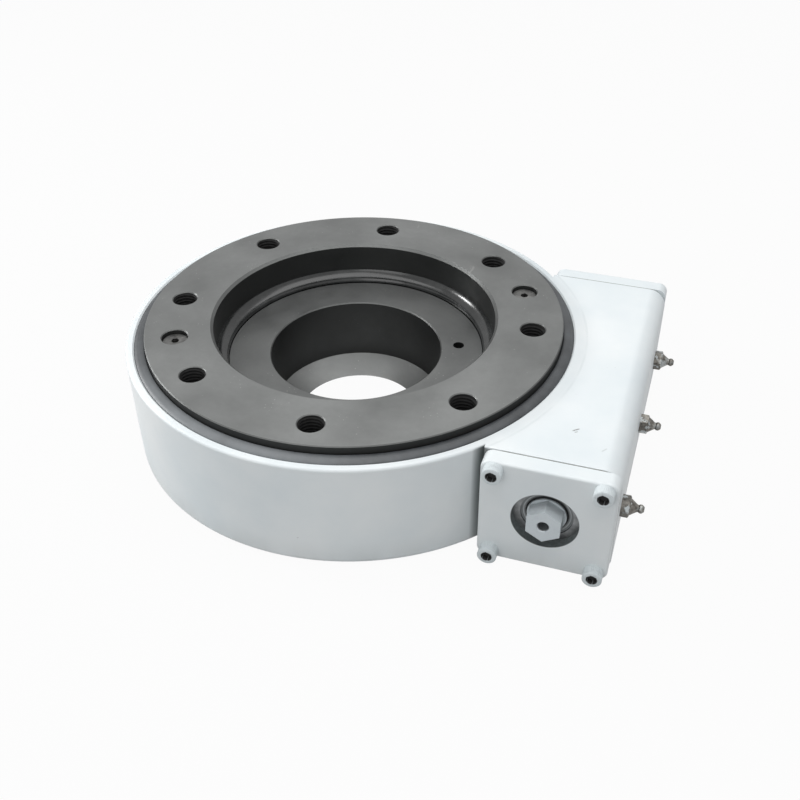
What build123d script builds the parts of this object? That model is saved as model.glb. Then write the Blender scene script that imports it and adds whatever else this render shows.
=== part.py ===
from build123d import *
import math
import os

os.makedirs("parts", exist_ok=True)

# Enclosed worm-gear slewing drive. All sizes are in millimetres.
# Origin: on the slewing axis, in the plane of the base. +Z is up along the slewing axis,
# +X points from the slewing axis to the worm, and the worm's drive end faces -Y.

# ---------------------------------------------------------------- driving sizes
overall_height = 69.5
ring_proud = 5.5              # slewing ring above the housing's top face

# worm and worm wheel
module = 3.0
wheel_teeth = 73
pressure_angle = 20.0
tip_clearance = 0.75
flank_play = 0.07             # running play of one thread flank
worm_pitch_radius = 23.2
worm_thread_length = 74.0
thread_sink = 0.6             # thread rooted this deep in the shaft

# slewing ring
ring_overhang = 6.0           # flange beyond the tips of the wheel teeth
ring_flange_thickness = 14.0
ring_foot_gap = 3.5           # foot of the wheel above the housing floor
recess_step = 2.3             # recess wall outside the raceway lip
ring_edge_chamfer = 1.5
ring_bolt_inset = 16.9        # bolt circle inside the flange's rim
ring_bolt_count = 8
ring_bolt_start = 7.9
ring_bolt_radius = 7.0        # tapping drill of M16
ring_bolt_depth = 19.0
mouth_chamfer = 0.5
ring_port_start = 30.7
ring_port_radius = 7.3
ring_port_depth = 14.0
ring_plug_sink = 2.6
ring_plug_length = 9.0
plug_socket_across = 4.0

# raceway, balls and spacers
race_radius = 77.0
race_z = 31.5
ball_radius = 8.0
ball_count = 24
race_play = 0.15
race_lips_gap = 2.0           # between the two raceway lips
spacer_radius = 6.4
spacer_length = 6.6
spacer_play = 0.15

# fixed hub
hub_top_z = 45.8
hub_top_step = 2.5            # bevel from the raceway lip to the top face
hub_bore_radius = 49.5
hub_cone_top_z = 7.9
hub_cone_step = 14.0          # narrow outlet inside the bore
hub_register_radius = 70.0
hub_flange_reach = 23.0       # flange beyond the register
hub_flange_thickness = 8.0
hub_edge_chamfer = 0.6
base_bolt_inset = 10.8        # bolt circle outside the bore
base_bolt_count = 10
base_bolt_radius = 5.1        # tapping drill of M12
base_bolt_depth = 24.0
loading_plug_angle = 19.6
loading_plug_radius = 8.6
loading_pin_inset = 10.5      # pin outside the bore
loading_pin_radius = 3.2
loading_pin_sink = 5.0
hub_screw_inset = 11.0        # screw circle inside the flange's rim
hub_screw_count = 8
hub_screw_radius = 4.0        # M8 countersunk
hub_screw_head_radius = 8.0
hub_screw_play = 0.4
hub_dowel_radius = 4.0

# lip seals of the ring
seal_groove_rise = 2.4        # inner seal's groove above the hub's top
seal_groove_height = 4.0
seal_groove_depth = 2.0
inner_crest_inset = 0.6
inner_hollow_radius = 9.0     # hollow top of the inner seal
inner_lip_inset = 0.4
inner_lip_width = 1.6
inner_lip_height = 0.5
outer_seal_width = 6.3        # from the flange to the housing's seal seat
outer_crown_radius = 16.0     # rounded top of the outer seal
outer_lip_rise = 1.0
outer_lip_thickness = 1.6
outer_web_drop = 2.0

# housing
rim_wall = 4.7                # barrel wall beside the outer seal
barrel_foot_fillet = 4.0
floor_thickness = 9.0
seal_shoulder = 4.2           # ledge that the outer seal stands on
seal_seat_depth = 6.0
box_width = 68.0
box_overhang = 2.16           # end of the worm box beyond the barrel's side
box_long_edge_radius = 10.0
box_corner_radius = 5.0
rim_chamfer = 0.8

# covers, gaskets and their screws
cover_thickness = 9.0
cover_inset = 0.4             # cover outline inside the box's outline
spigot_length = 3.0
gasket_thickness = 0.5
cover_bore_radius = 17.0
cover_screw_side = 7.2        # screw axis from the box's side
cover_screw_edge = 5.2        # screw axis from the box's top and bottom
cover_screw_radius = 3.0      # M6 socket head
cover_hole_play = 0.3
cover_screw_head_radius = 5.0
cover_screw_head_height = 6.0
cover_screw_socket = 5.0
cover_screw_depth = 13.0
flat_screw_head_radius = 5.6  # M6 countersunk head, flush with the rear cover
flat_screw_socket = 4.0
cover_edge_fillet = 1.4

# worm shaft and its bearings
journal_radius = 15.0
tunnel_play = 1.3             # tunnel and bearing seats around the worm's tips
bearing_width = 17.0
cup_width = 13.0
shoulder_radius = 18.0
seal_land_radius = 10.0
drive_hex_across = 17.0
drive_hex_length = 9.0
drive_hex_proud = 4.0
drive_hole_radius = 2.9
drive_hole_depth = 14.0
roller_count = 15
roller_length = 10.0
roller_axis_angle = 11.5
roller_half_angle = 2.0
cone_rib_width = 3.2
cone_lip_width = 1.7
cage_wall = 1.0
pocket_play = 0.15

# shaft seal
shaft_seal_width = 6.5
seal_case_wall = 0.9
seal_case_rim = 3.6           # case face from the bore inwards
garter_spring_radius = 0.6
garter_spring_drop = 4.0      # behind the seal's front
garter_spring_rise = 2.6      # above the shaft

# grease nipples
nipple_places = (-69.0, 0.0, 64.0)
nipple_drop = 3.0             # below the worm axis
nipple_hex_across = 10.0
nipple_hex_height = 4.5
nipple_thread_radius = 4.0
nipple_thread_length = 4.5
nipple_height = 11.4
nipple_cone_height = 3.4
nipple_head_height = 3.0
nipple_head_radius = 2.3
nipple_neck_radius = 1.7
nipple_port_radius = 1.4
nipple_ball_radius = 0.9

# named clearances
fit_play = 0.02               # seated or screwed pieces
running_play = 0.06           # turning shaft in its lip or race
lip_play = 0.3                # rubber lip beside the turning face
floor_play = 1.5              # turning ring above fixed faces

# ---------------------------------------------------------------- derived sizes
housing_top_z = overall_height - ring_proud
worm_axis_z = housing_top_z / 2
wheel_pitch_radius = module * wheel_teeth / 2
wheel_tip_radius = wheel_pitch_radius + module
wheel_base_radius = wheel_pitch_radius * math.cos(math.radians(pressure_angle))
centre_distance = wheel_pitch_radius + worm_pitch_radius
worm_tip_radius = worm_pitch_radius + module
worm_root_radius = worm_pitch_radius - module - tip_clearance
thread_pitch = math.pi * module
lead_slope = thread_pitch / (2 * math.pi * worm_pitch_radius)
ring_radius = wheel_tip_radius + ring_overhang
ring_bolt_circle = 2 * (ring_radius - ring_bolt_inset)
ring_foot_z = floor_thickness + ring_foot_gap
ring_inner_radius = race_radius + race_lips_gap / 2
recess_radius = ring_inner_radius + recess_step
seal_seat_radius = ring_radius + outer_seal_width
cavity_radius = seal_seat_radius - seal_shoulder
barrel_radius = seal_seat_radius + rim_wall
hub_outer_radius = race_radius - race_lips_gap / 2
hub_top_radius = hub_outer_radius - hub_top_step
base_bolt_circle = 2 * (hub_bore_radius + base_bolt_inset)
loading_pin_circle = hub_bore_radius + loading_pin_inset
hub_cone_radius = hub_bore_radius - hub_cone_step
hub_flange_radius = hub_register_radius + hub_flange_reach
hub_screw_circle = 2 * (hub_flange_radius - hub_screw_inset)
race_groove_radius = ball_radius + race_play
hub_flange_top_z = floor_thickness + hub_flange_thickness
flange_bottom_z = overall_height - ring_flange_thickness
box_left_x = centre_distance - box_width / 2
box_right_x = centre_distance + box_width / 2
box_end_y = math.sqrt(barrel_radius**2 - box_left_x**2) + box_overhang
bearing_outer_radius = worm_tip_radius + tunnel_play
roller_axis_radius = (journal_radius + bearing_outer_radius) / 2 + running_play
cover_seat_y = box_end_y + gasket_thickness
bearing_outer_y = box_end_y - spigot_length + gasket_thickness
bearing_inner_y = bearing_outer_y - bearing_width
cover_face_y = cover_seat_y + cover_thickness
cover_screw_width = box_width - 2 * cover_screw_side
cover_screw_height = housing_top_z - 2 * cover_screw_edge
worm_axis = Axis((centre_distance, 0, worm_axis_z), (0, 1, 0))
nipple_plane = Plane(origin=(box_right_x, 0, worm_axis_z), x_dir=(0, 1, 0), z_dir=(1, 0, 0))
nipple_points = [(place, -nipple_drop) for place in nipple_places]


def end_plane(side: int, distance: float) -> Plane:
    """Plane square to the worm axis, facing out of the box's end on that side."""
    return Plane(origin=(centre_distance, side * distance, worm_axis_z), x_dir=(1, 0, 0), z_dir=(0, side, 0))


def worm_section(side: int) -> Plane:
    """Plane through the worm axis: local x runs out of the box's end, local y is the radius."""
    return Plane(origin=(centre_distance, 0, worm_axis_z), x_dir=(0, side, 0), z_dir=(0, 0, side))


def involute(angle: float) -> float:
    """Involute function of a pressure angle in radians."""
    return math.tan(angle) - angle


def gap_half_angle(radius: float) -> float:
    """Half the angle of a gap between two wheel teeth at a radius, in radians."""
    pitch_involute = involute(math.radians(pressure_angle))
    radius_involute = involute(math.acos(wheel_base_radius / radius))
    return math.pi / (2 * wheel_teeth) - pitch_involute + radius_involute + flank_play / radius


# ---------------------------------------------------------------- one gap between wheel teeth
gap_root_radius = wheel_base_radius + 1.5 * module * math.sin(math.radians(pressure_angle))
gap_mouth_radius = wheel_tip_radius + tip_clearance
gap_reach = worm_tip_radius * 0.8

with BuildPart() as tooth_gap:
    for end in (-1, 1):
        turn = math.degrees(end * gap_reach * lead_slope / wheel_pitch_radius)
        level = Plane.XY.offset(worm_axis_z + end * gap_reach).rotated((0, 0, turn))
        with BuildSketch(level):
            with BuildLine():
                flanks = []
                for hand in (-1, 1):
                    points = []
                    for radius in (gap_root_radius, wheel_pitch_radius, gap_mouth_radius):
                        angle = hand * gap_half_angle(radius)
                        points.append((radius * math.cos(angle), radius * math.sin(angle)))
                    flanks.append(ThreePointArc(*points))
                Line(flanks[0] @ 0, flanks[1] @ 0)
                Line(flanks[0] @ 1, flanks[1] @ 1)
            make_face()
    loft(ruled=True)
    # the hob leaves a root that follows the worm's tip circle
    with BuildSketch(Plane.XZ):
        with Locations((centre_distance, worm_axis_z)):
            Circle(worm_tip_radius + tip_clearance)
    revolve(axis=Axis.Z, mode=Mode.INTERSECT)

# ---------------------------------------------------------------- slewing ring
groove_bottom_z = hub_top_z + seal_groove_rise
groove_top_z = groove_bottom_z + seal_groove_height

with BuildPart() as slewing_ring:
    with BuildSketch(Plane.XZ):
        with BuildLine():
            Polyline(
                (recess_radius, overall_height),
                (ring_radius, overall_height),
                (ring_radius, flange_bottom_z),
                (wheel_tip_radius, flange_bottom_z),
                (wheel_tip_radius, ring_foot_z),
                (hub_flange_radius + floor_play, ring_foot_z),
                (hub_flange_radius + floor_play, hub_flange_top_z + floor_play),
                (ring_inner_radius, hub_flange_top_z + floor_play),
                (ring_inner_radius, groove_bottom_z),
                (recess_radius + seal_groove_depth, groove_bottom_z),
                (recess_radius + seal_groove_depth, groove_top_z),
                (recess_radius, groove_top_z),
                close=True,
            )
        make_face()
        with Locations((race_radius, race_z)):
            Circle(race_groove_radius, mode=Mode.SUBTRACT)
    revolve(axis=Axis.Z)
    top_edges = slewing_ring.edges().filter_by(GeomType.CIRCLE).group_by(Axis.Z)[-1]
    chamfer(top_edges.sort_by(SortBy.RADIUS)[0], length=ring_edge_chamfer)
    chamfer(top_edges.sort_by(SortBy.RADIUS)[-1], length=mouth_chamfer)
    with Locations((0, 0, overall_height)):
        with PolarLocations(ring_bolt_circle / 2, ring_bolt_count, start_angle=ring_bolt_start):
            CounterSinkHole(
                radius=ring_bolt_radius,
                counter_sink_radius=ring_bolt_radius + mouth_chamfer,
                depth=ring_bolt_depth,
                counter_sink_angle=90,
            )
        with PolarLocations(ring_bolt_circle / 2, 2, start_angle=ring_port_start):
            CounterSinkHole(
                radius=ring_port_radius,
                counter_sink_radius=ring_port_radius + mouth_chamfer,
                depth=ring_port_depth,
                counter_sink_angle=90,
            )
    with PolarLocations(0, wheel_teeth):
        add(tooth_gap.part, mode=Mode.SUBTRACT)
slewing_ring.part.label = "slewing_ring"
export_step(slewing_ring.part, "parts/slewing_ring.step")

# ---------------------------------------------------------------- plugs of the ring's two ports
with BuildPart() as ring_plug:
    with BuildSketch():
        Circle(ring_port_radius - fit_play)
    extrude(amount=-ring_plug_length)
    chamfer(ring_plug.edges().group_by(Axis.Z)[-1], length=mouth_chamfer)
    with BuildSketch():
        RegularPolygon(plug_socket_across / 2, 6, major_radius=False)
    extrude(amount=-ring_plug_length / 2, mode=Mode.SUBTRACT)

with BuildPart() as ring_plugs:
    with Locations((0, 0, overall_height - ring_plug_sink)):
        with PolarLocations(ring_bolt_circle / 2, 2, start_angle=ring_port_start):
            add(ring_plug.part)
ring_plugs.part.label = "ring_plugs"
export_step(ring_plugs.part, "parts/ring_plugs.step")

# ---------------------------------------------------------------- inner lip seal, held by the ring
inner_lip_z = hub_top_z + lip_play
inner_lip_radius = hub_top_radius + inner_lip_inset
with BuildPart() as inner_seal:
    with BuildSketch(Plane.XZ):
        with BuildLine():
            foot = Line(
                (recess_radius + seal_groove_depth - fit_play, groove_bottom_z + fit_play),
                (recess_radius + seal_groove_depth - fit_play, groove_top_z - fit_play),
            )
            crest = Line(foot @ 1, (recess_radius - inner_crest_inset, groove_top_z - fit_play))
            lip_top = (inner_lip_radius, inner_lip_z + inner_lip_height)
            hollow = RadiusArc(crest @ 1, lip_top, -inner_hollow_radius)
            Polyline(
                hollow @ 1,
                (inner_lip_radius, inner_lip_z),
                (inner_lip_radius + inner_lip_width, inner_lip_z),
                (ring_inner_radius - fit_play, groove_bottom_z + fit_play),
                foot @ 0,
            )
        make_face()
    revolve(axis=Axis.Z)
inner_seal.part.label = "inner_seal"
export_step(inner_seal.part, "parts/inner_seal.step")

# ---------------------------------------------------------------- hub: the fixed inner race
with BuildPart() as hub_blank:
    with BuildSketch(Plane.XZ):
        with BuildLine():
            Polyline(
                (hub_cone_radius, 0),
                (hub_register_radius - fit_play, 0),
                (hub_register_radius - fit_play, floor_thickness),
                (hub_flange_radius, floor_thickness),
                (hub_flange_radius, hub_flange_top_z),
                (hub_outer_radius, hub_flange_top_z),
                (hub_outer_radius, hub_top_z - hub_top_step),
                (hub_top_radius, hub_top_z),
                (hub_bore_radius, hub_top_z),
                (hub_bore_radius, hub_cone_top_z),
                close=True,
            )
        make_face()
        with Locations((race_radius, race_z)):
            Circle(race_groove_radius, mode=Mode.SUBTRACT)
    revolve(axis=Axis.Z)
    bore_mouth = hub_blank.edges().filter_by(GeomType.CIRCLE).group_by(Axis.Z)[-1].sort_by(SortBy.RADIUS)[0]
    chamfer(bore_mouth, length=hub_edge_chamfer)

plug_direction = (math.cos(math.radians(loading_plug_angle)), math.sin(math.radians(loading_plug_angle)), 0)
plug_plane = Plane(origin=(0, 0, race_z), x_dir=(0, 0, 1), z_dir=plug_direction)

with BuildPart() as hub:
    add(hub_blank.part)
    with BuildSketch(plug_plane):
        Circle(loading_plug_radius)
    extrude(amount=race_radius, mode=Mode.SUBTRACT)
    with Locations((0, 0, hub_top_z)):
        with PolarLocations(loading_pin_circle, 1, start_angle=loading_plug_angle):
            Hole(loading_pin_radius, depth=hub_top_z - race_z)
    with PolarLocations(
        base_bolt_circle / 2, base_bolt_count, start_angle=loading_plug_angle + 180 / base_bolt_count
    ):
        Hole(base_bolt_radius, depth=base_bolt_depth)
    with Locations((0, 0, hub_flange_top_z)):
        with PolarLocations(hub_screw_circle / 2, hub_screw_count):
            Hole(hub_screw_radius, depth=hub_flange_thickness)
        with PolarLocations(hub_screw_circle / 2, 2, start_angle=180 / hub_screw_count):
            Hole(hub_dowel_radius, depth=hub_flange_thickness)
hub.part.label = "hub"
export_step(hub.part, "parts/hub.step")

# ---------------------------------------------------------------- plug that closes the ball filling hole
with BuildPart() as loading_plug:
    add(hub_blank.part)
    with BuildSketch(plug_plane):
        Circle(loading_plug_radius - fit_play)
    extrude(amount=race_radius, mode=Mode.INTERSECT)
    with Locations((0, 0, hub_top_z)):
        with PolarLocations(loading_pin_circle, 1, start_angle=loading_plug_angle):
            Hole(loading_pin_radius, depth=hub_top_z - race_z)
loading_plug.part.label = "loading_plug"
export_step(loading_plug.part, "parts/loading_plug.step")

with BuildPart() as loading_plug_pin:
    with BuildSketch(Plane.XY.offset(race_z)):
        with PolarLocations(loading_pin_circle, 1, start_angle=loading_plug_angle):
            Circle(loading_pin_radius - fit_play)
    extrude(amount=hub_top_z - loading_pin_sink - race_z)
    chamfer(loading_plug_pin.edges().group_by(Axis.Z)[-1], length=mouth_chamfer)
loading_plug_pin.part.label = "loading_plug_pin"
export_step(loading_plug_pin.part, "parts/loading_plug_pin.step")

# ---------------------------------------------------------------- balls and the spacers between them
ball_step = 360 / ball_count
with BuildPart() as raceway_balls:
    with Locations((0, 0, race_z)):
        with PolarLocations(race_radius, ball_count):
            Sphere(ball_radius)
raceway_balls.part.label = "raceway_balls"
export_step(raceway_balls.part, "parts/raceway_balls.step")

half_ball_gap = race_radius * math.sin(math.radians(ball_step / 2))
with BuildPart() as ball_spacer:
    Cylinder(spacer_radius, spacer_length)
    with Locations((0, 0, -half_ball_gap), (0, 0, half_ball_gap)):
        Sphere(ball_radius + spacer_play, mode=Mode.SUBTRACT)

with BuildPart() as ball_spacers:
    with Locations((0, 0, race_z)):
        with PolarLocations(
            race_radius * math.cos(math.radians(ball_step / 2)),
            ball_count,
            start_angle=ball_step / 2,
        ):
            add(ball_spacer.part, rotation=(90, 0, 0))
ball_spacers.part.label = "ball_spacers"
export_step(ball_spacers.part, "parts/ball_spacers.step")

# ---------------------------------------------------------------- housing: barrel and worm box in one casting
with BuildPart() as worm_box:
    with BuildSketch(Plane.XZ):
        with Locations((centre_distance, housing_top_z / 2)):
            Rectangle(box_width, housing_top_z)
    extrude(amount=box_end_y, both=True)
    right_edges = worm_box.edges().filter_by(Axis.Y).group_by(Axis.X)[-1].sort_by(Axis.Z)
    fillet(right_edges[-1], radius=box_long_edge_radius)
    right_edges = worm_box.edges().filter_by(Axis.Y).group_by(Axis.Z)[0].sort_by(Axis.X)
    fillet(right_edges[-1], radius=box_corner_radius)

with BuildPart() as housing:
    with BuildSketch():
        Circle(barrel_radius)
    extrude(amount=housing_top_z)
    fillet(housing.edges().group_by(Axis.Z)[0], radius=barrel_foot_fillet)
    add(worm_box.part)
    # cavity of the wheel, register of the hub and seat of the outer seal
    with BuildSketch(Plane.XZ):
        with BuildLine():
            Polyline(
                (0, -1),
                (hub_register_radius, -1),
                (hub_register_radius, floor_thickness),
                (cavity_radius, floor_thickness),
                (cavity_radius, housing_top_z - seal_seat_depth),
                (seal_seat_radius, housing_top_z - seal_seat_depth),
                (seal_seat_radius, housing_top_z - rim_chamfer),
                (seal_seat_radius + rim_chamfer, housing_top_z),
                (seal_seat_radius + rim_chamfer, housing_top_z + 1),
                (0, housing_top_z + 1),
                close=True,
            )
        make_face()
    revolve(axis=Axis.Z, mode=Mode.SUBTRACT)
    # tunnel of the worm and its bearings
    with BuildSketch(Plane.XZ):
        with Locations((centre_distance, worm_axis_z)):
            Circle(bearing_outer_radius)
    extrude(amount=box_end_y + 1, both=True, mode=Mode.SUBTRACT)
    # tapped holes of the two covers
    for side in (-1, 1):
        with Locations(end_plane(side, box_end_y)):
            with GridLocations(cover_screw_width, cover_screw_height, 2, 2):
                Hole(cover_screw_radius, depth=cover_screw_depth)
    # ports of the grease nipples
    with Locations(nipple_plane):
        with Locations(nipple_points):
            CounterBoreHole(
                radius=nipple_port_radius,
                counter_bore_radius=nipple_thread_radius,
                counter_bore_depth=nipple_thread_length + fit_play,
                depth=box_right_x - centre_distance,
            )
    # screws and dowels that hold the hub from below
    with Locations(Plane(origin=(0, 0, 0), x_dir=(1, 0, 0), z_dir=(0, 0, -1))):
        with PolarLocations(hub_screw_circle / 2, hub_screw_count):
            CounterSinkHole(
                radius=hub_screw_radius + hub_screw_play,
                counter_sink_radius=hub_screw_head_radius + hub_screw_play,
                depth=floor_thickness,
                counter_sink_angle=90,
            )
        with PolarLocations(hub_screw_circle / 2, 2, start_angle=-180 / hub_screw_count):
            Hole(hub_dowel_radius, depth=floor_thickness)
housing.part.label = "housing"
export_step(housing.part, "parts/housing.step")

# ---------------------------------------------------------------- outer lip seal, seated in the housing
seal_lip_radius = ring_radius + lip_play
seal_floor_z = housing_top_z - seal_seat_depth
seal_lip_z = housing_top_z + outer_lip_rise - outer_lip_thickness
with BuildPart() as outer_seal:
    with BuildSketch(Plane.XZ):
        with BuildLine():
            heel = Polyline(
                (cavity_radius + fit_play, seal_floor_z),
                (seal_seat_radius - fit_play, seal_floor_z),
                (seal_seat_radius - fit_play, housing_top_z - rim_chamfer),
            )
            crown = RadiusArc(heel @ 1, (seal_lip_radius, housing_top_z + outer_lip_rise), outer_crown_radius)
            Polyline(
                crown @ 1,
                (seal_lip_radius, seal_lip_z),
                (cavity_radius + fit_play, seal_lip_z - outer_web_drop),
                (cavity_radius + fit_play, seal_floor_z),
            )
        make_face()
    revolve(axis=Axis.Z)
outer_seal.part.label = "outer_seal"
export_step(outer_seal.part, "parts/outer_seal.step")

# ---------------------------------------------------------------- screws and dowels between floor and hub
with BuildPart() as hub_screw:
    with BuildSketch(Plane.XZ):
        with BuildLine():
            Polyline(
                (0, 0),
                (hub_screw_head_radius, 0),
                (hub_screw_radius - fit_play, hub_screw_head_radius - hub_screw_radius),
                (hub_screw_radius - fit_play, hub_flange_top_z - 1),
                (0, hub_flange_top_z - 1),
                close=True,
            )
        make_face()
    revolve(axis=Axis.Z)
    with BuildSketch():
        RegularPolygon(cover_screw_socket / 2, 6, major_radius=False)
    extrude(amount=cover_screw_socket / 2, mode=Mode.SUBTRACT)

with BuildPart() as hub_screws:
    with PolarLocations(hub_screw_circle / 2, hub_screw_count):
        add(hub_screw.part)
hub_screws.part.label = "hub_screws"
export_step(hub_screws.part, "parts/hub_screws.step")

with BuildPart() as hub_dowels:
    with BuildSketch(Plane.XY.offset(mouth_chamfer)):
        with PolarLocations(hub_screw_circle / 2, 2, start_angle=180 / hub_screw_count):
            Circle(hub_dowel_radius - fit_play)
    extrude(amount=hub_flange_top_z - 2 * mouth_chamfer)
hub_dowels.part.label = "hub_dowels"
export_step(hub_dowels.part, "parts/hub_dowels.step")

# ---------------------------------------------------------------- worm shaft
drive_end_y = cover_face_y + drive_hex_proud
seal_front_y = bearing_outer_y + shaft_seal_width
hex_start_y = drive_end_y - drive_hex_length
thread_turns = 2 * math.ceil(worm_thread_length / (2 * thread_pitch)) + 2
half_thread = thread_pitch / 4 - flank_play
flank_slope = math.tan(math.radians(pressure_angle))
worm_frame = Plane(origin=(centre_distance, 0, worm_axis_z), x_dir=(-1, 0, 0), z_dir=(0, 1, 0))

# one right-hand start, made along the z axis and crossing the wheel's mid-plane on the x axis
with BuildPart() as worm_thread:
    coil = Helix(
        pitch=thread_pitch,
        height=thread_turns * thread_pitch,
        radius=worm_root_radius,
        center=(0, 0, -thread_turns * thread_pitch / 2),
    )
    with BuildSketch(Plane(origin=coil @ 0, x_dir=(1, 0, 0), z_dir=coil % 0)):
        with BuildLine():
            root_half = half_thread + (module + tip_clearance + thread_sink) * flank_slope
            tip_half = half_thread - module * flank_slope
            tip_height = worm_tip_radius - worm_root_radius
            Polyline(
                (-thread_sink, -root_half),
                (tip_height, -tip_half),
                (tip_height, tip_half),
                (-thread_sink, root_half),
                close=True,
            )
        make_face()
    sweep(path=coil, is_frenet=True)
    # the ends of the threaded length are turned down to a bevel
    with BuildSketch(Plane.XZ):
        with BuildLine():
            Polyline(
                (0, -worm_thread_length / 2),
                (worm_root_radius, -worm_thread_length / 2),
                (worm_tip_radius + 0.1, module - worm_thread_length / 2),
                (worm_tip_radius + 0.1, worm_thread_length / 2 - module),
                (worm_root_radius, worm_thread_length / 2),
                (0, worm_thread_length / 2),
                close=True,
            )
        make_face()
    revolve(axis=Axis.Z, mode=Mode.INTERSECT)

with BuildPart() as worm_shaft:
    with BuildSketch(worm_section(-1)):
        with BuildLine():
            Polyline(
                (drive_end_y, 0),
                (drive_end_y, seal_land_radius),
                (bearing_outer_y, seal_land_radius),
                (bearing_outer_y, journal_radius),
                (bearing_inner_y, journal_radius),
                (bearing_inner_y, shoulder_radius),
                (worm_thread_length / 2, shoulder_radius),
                (worm_thread_length / 2, worm_root_radius),
                (-worm_thread_length / 2, worm_root_radius),
                (-worm_thread_length / 2, shoulder_radius),
                (-bearing_inner_y, shoulder_radius),
                (-bearing_inner_y, journal_radius),
                (-bearing_outer_y, journal_radius),
                (-bearing_outer_y, 0),
                close=True,
            )
        make_face()
    revolve(axis=worm_axis)
    # hexagon milled on the drive end, with a corner upwards
    with BuildSketch(end_plane(-1, drive_end_y)):
        Circle(seal_land_radius + 1)
        RegularPolygon(drive_hex_across / 2, 6, major_radius=False, rotation=30, mode=Mode.SUBTRACT)
    extrude(amount=-drive_hex_length, mode=Mode.SUBTRACT)
    with Locations(end_plane(-1, drive_end_y)):
        CounterSinkHole(
            radius=drive_hole_radius,
            counter_sink_radius=drive_hole_radius + mouth_chamfer,
            depth=drive_hole_depth,
            counter_sink_angle=90,
        )
    with Locations(worm_frame):
        add(worm_thread.part)
worm_shaft.part.label = "worm_shaft"
export_step(worm_shaft.part, "parts/worm_shaft.step")

# ---------------------------------------------------------------- taper roller bearings of the worm
# Cone, rollers and cup share one apex on the worm axis, outside the box's end.
axis_tilt = math.radians(roller_axis_angle)
roller_tilt = math.radians(roller_half_angle)
roller_reach = roller_axis_radius / math.sin(axis_tilt)
roller_mid_y = bearing_inner_y + 0.55 * bearing_width
apex_y = roller_mid_y + roller_reach * math.cos(axis_tilt)


def race_radius_at(distance: float, angle: float) -> float:
    """Radius of a conical race of the given angle at a distance along the worm axis."""
    return (apex_y - distance) * math.tan(angle)


cone_angle = axis_tilt - roller_tilt
cup_angle = axis_tilt + roller_tilt
cup_inner_y = bearing_outer_y - cup_width

for side, end_name in ((-1, "front"), (1, "rear")):
    section = worm_section(side)

    with BuildPart() as bearing_cup:
        with BuildSketch(section):
            with BuildLine():
                Polyline(
                    (cup_inner_y, bearing_outer_radius - fit_play),
                    (bearing_outer_y, bearing_outer_radius - fit_play),
                    (bearing_outer_y, race_radius_at(bearing_outer_y, cup_angle) + running_play),
                    (cup_inner_y, race_radius_at(cup_inner_y, cup_angle) + running_play),
                    close=True,
                )
            make_face()
        revolve(axis=worm_axis)
    bearing_cup.part.label = f"{end_name}_bearing_cup"
    export_step(bearing_cup.part, f"parts/{end_name}_bearing_cup.step")

    with BuildPart() as bearing_cone:
        with BuildSketch(section):
            with BuildLine():
                rib_y = bearing_inner_y + cone_rib_width
                lip_y = bearing_outer_y - cone_lip_width
                Polyline(
                    (bearing_inner_y, journal_radius + fit_play),
                    (bearing_inner_y, roller_axis_radius - cage_wall),
                    (rib_y, roller_axis_radius - cage_wall),
                    (rib_y, race_radius_at(rib_y, cone_angle) - running_play),
                    (lip_y, race_radius_at(lip_y, cone_angle) - running_play),
                    (lip_y, race_radius_at(lip_y, cone_angle) + cage_wall),
                    (bearing_outer_y, race_radius_at(lip_y, cone_angle) + cage_wall),
                    (bearing_outer_y, journal_radius + fit_play),
                    close=True,
                )
            make_face()
        revolve(axis=worm_axis)
    bearing_cone.part.label = f"{end_name}_bearing_cone"
    export_step(bearing_cone.part, f"parts/{end_name}_bearing_cone.step")

    # a roller lies along a line from the apex; its section is a wedge of the same apex
    apex = Vector(centre_distance, side * apex_y, worm_axis_z)
    roller_line = Vector(0, -side * math.cos(axis_tilt), math.sin(axis_tilt))
    roller_plane = Plane(origin=apex, x_dir=(1, 0, 0), z_dir=roller_line)
    near_end = roller_reach - roller_length / 2
    far_end = roller_reach + roller_length / 2
    with BuildPart() as roller:
        with BuildSketch(roller_plane.offset(near_end)):
            Circle(near_end * math.tan(roller_tilt))
        with BuildSketch(roller_plane.offset(far_end)):
            Circle(far_end * math.tan(roller_tilt))
        loft(ruled=True)

    with BuildPart() as pocket:
        with BuildSketch(roller_plane.offset(near_end - pocket_play)):
            Circle(near_end * math.tan(roller_tilt) + pocket_play)
        with BuildSketch(roller_plane.offset(far_end + pocket_play)):
            Circle(far_end * math.tan(roller_tilt) + pocket_play)
        loft(ruled=True)

    roller_copies = [
        roller.part.rotate(worm_axis, 360 * copy / roller_count) for copy in range(roller_count)
    ]
    with BuildPart() as rollers:
        add(roller_copies)
    rollers.part.label = f"{end_name}_bearing_rollers"
    export_step(rollers.part, f"parts/{end_name}_bearing_rollers.step")

    with BuildPart() as cage:
        with BuildSketch(section):
            with BuildLine():
                big_y = bearing_inner_y + 0.6 * cone_rib_width
                small_y = bearing_outer_y - cage_wall
                Polyline(
                    (big_y, race_radius_at(big_y, axis_tilt) - cage_wall / 2),
                    (big_y, race_radius_at(big_y, axis_tilt) + cage_wall / 2),
                    (small_y, race_radius_at(small_y, axis_tilt) + cage_wall / 2),
                    (small_y, race_radius_at(small_y, axis_tilt) - cage_wall / 2),
                    close=True,
                )
            make_face()
        revolve(axis=worm_axis)
        add(
            [pocket.part.rotate(worm_axis, 360 * copy / roller_count) for copy in range(roller_count)],
            mode=Mode.SUBTRACT,
        )
    cage.part.label = f"{end_name}_bearing_cage"
    export_step(cage.part, f"parts/{end_name}_bearing_cage.step")

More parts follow.
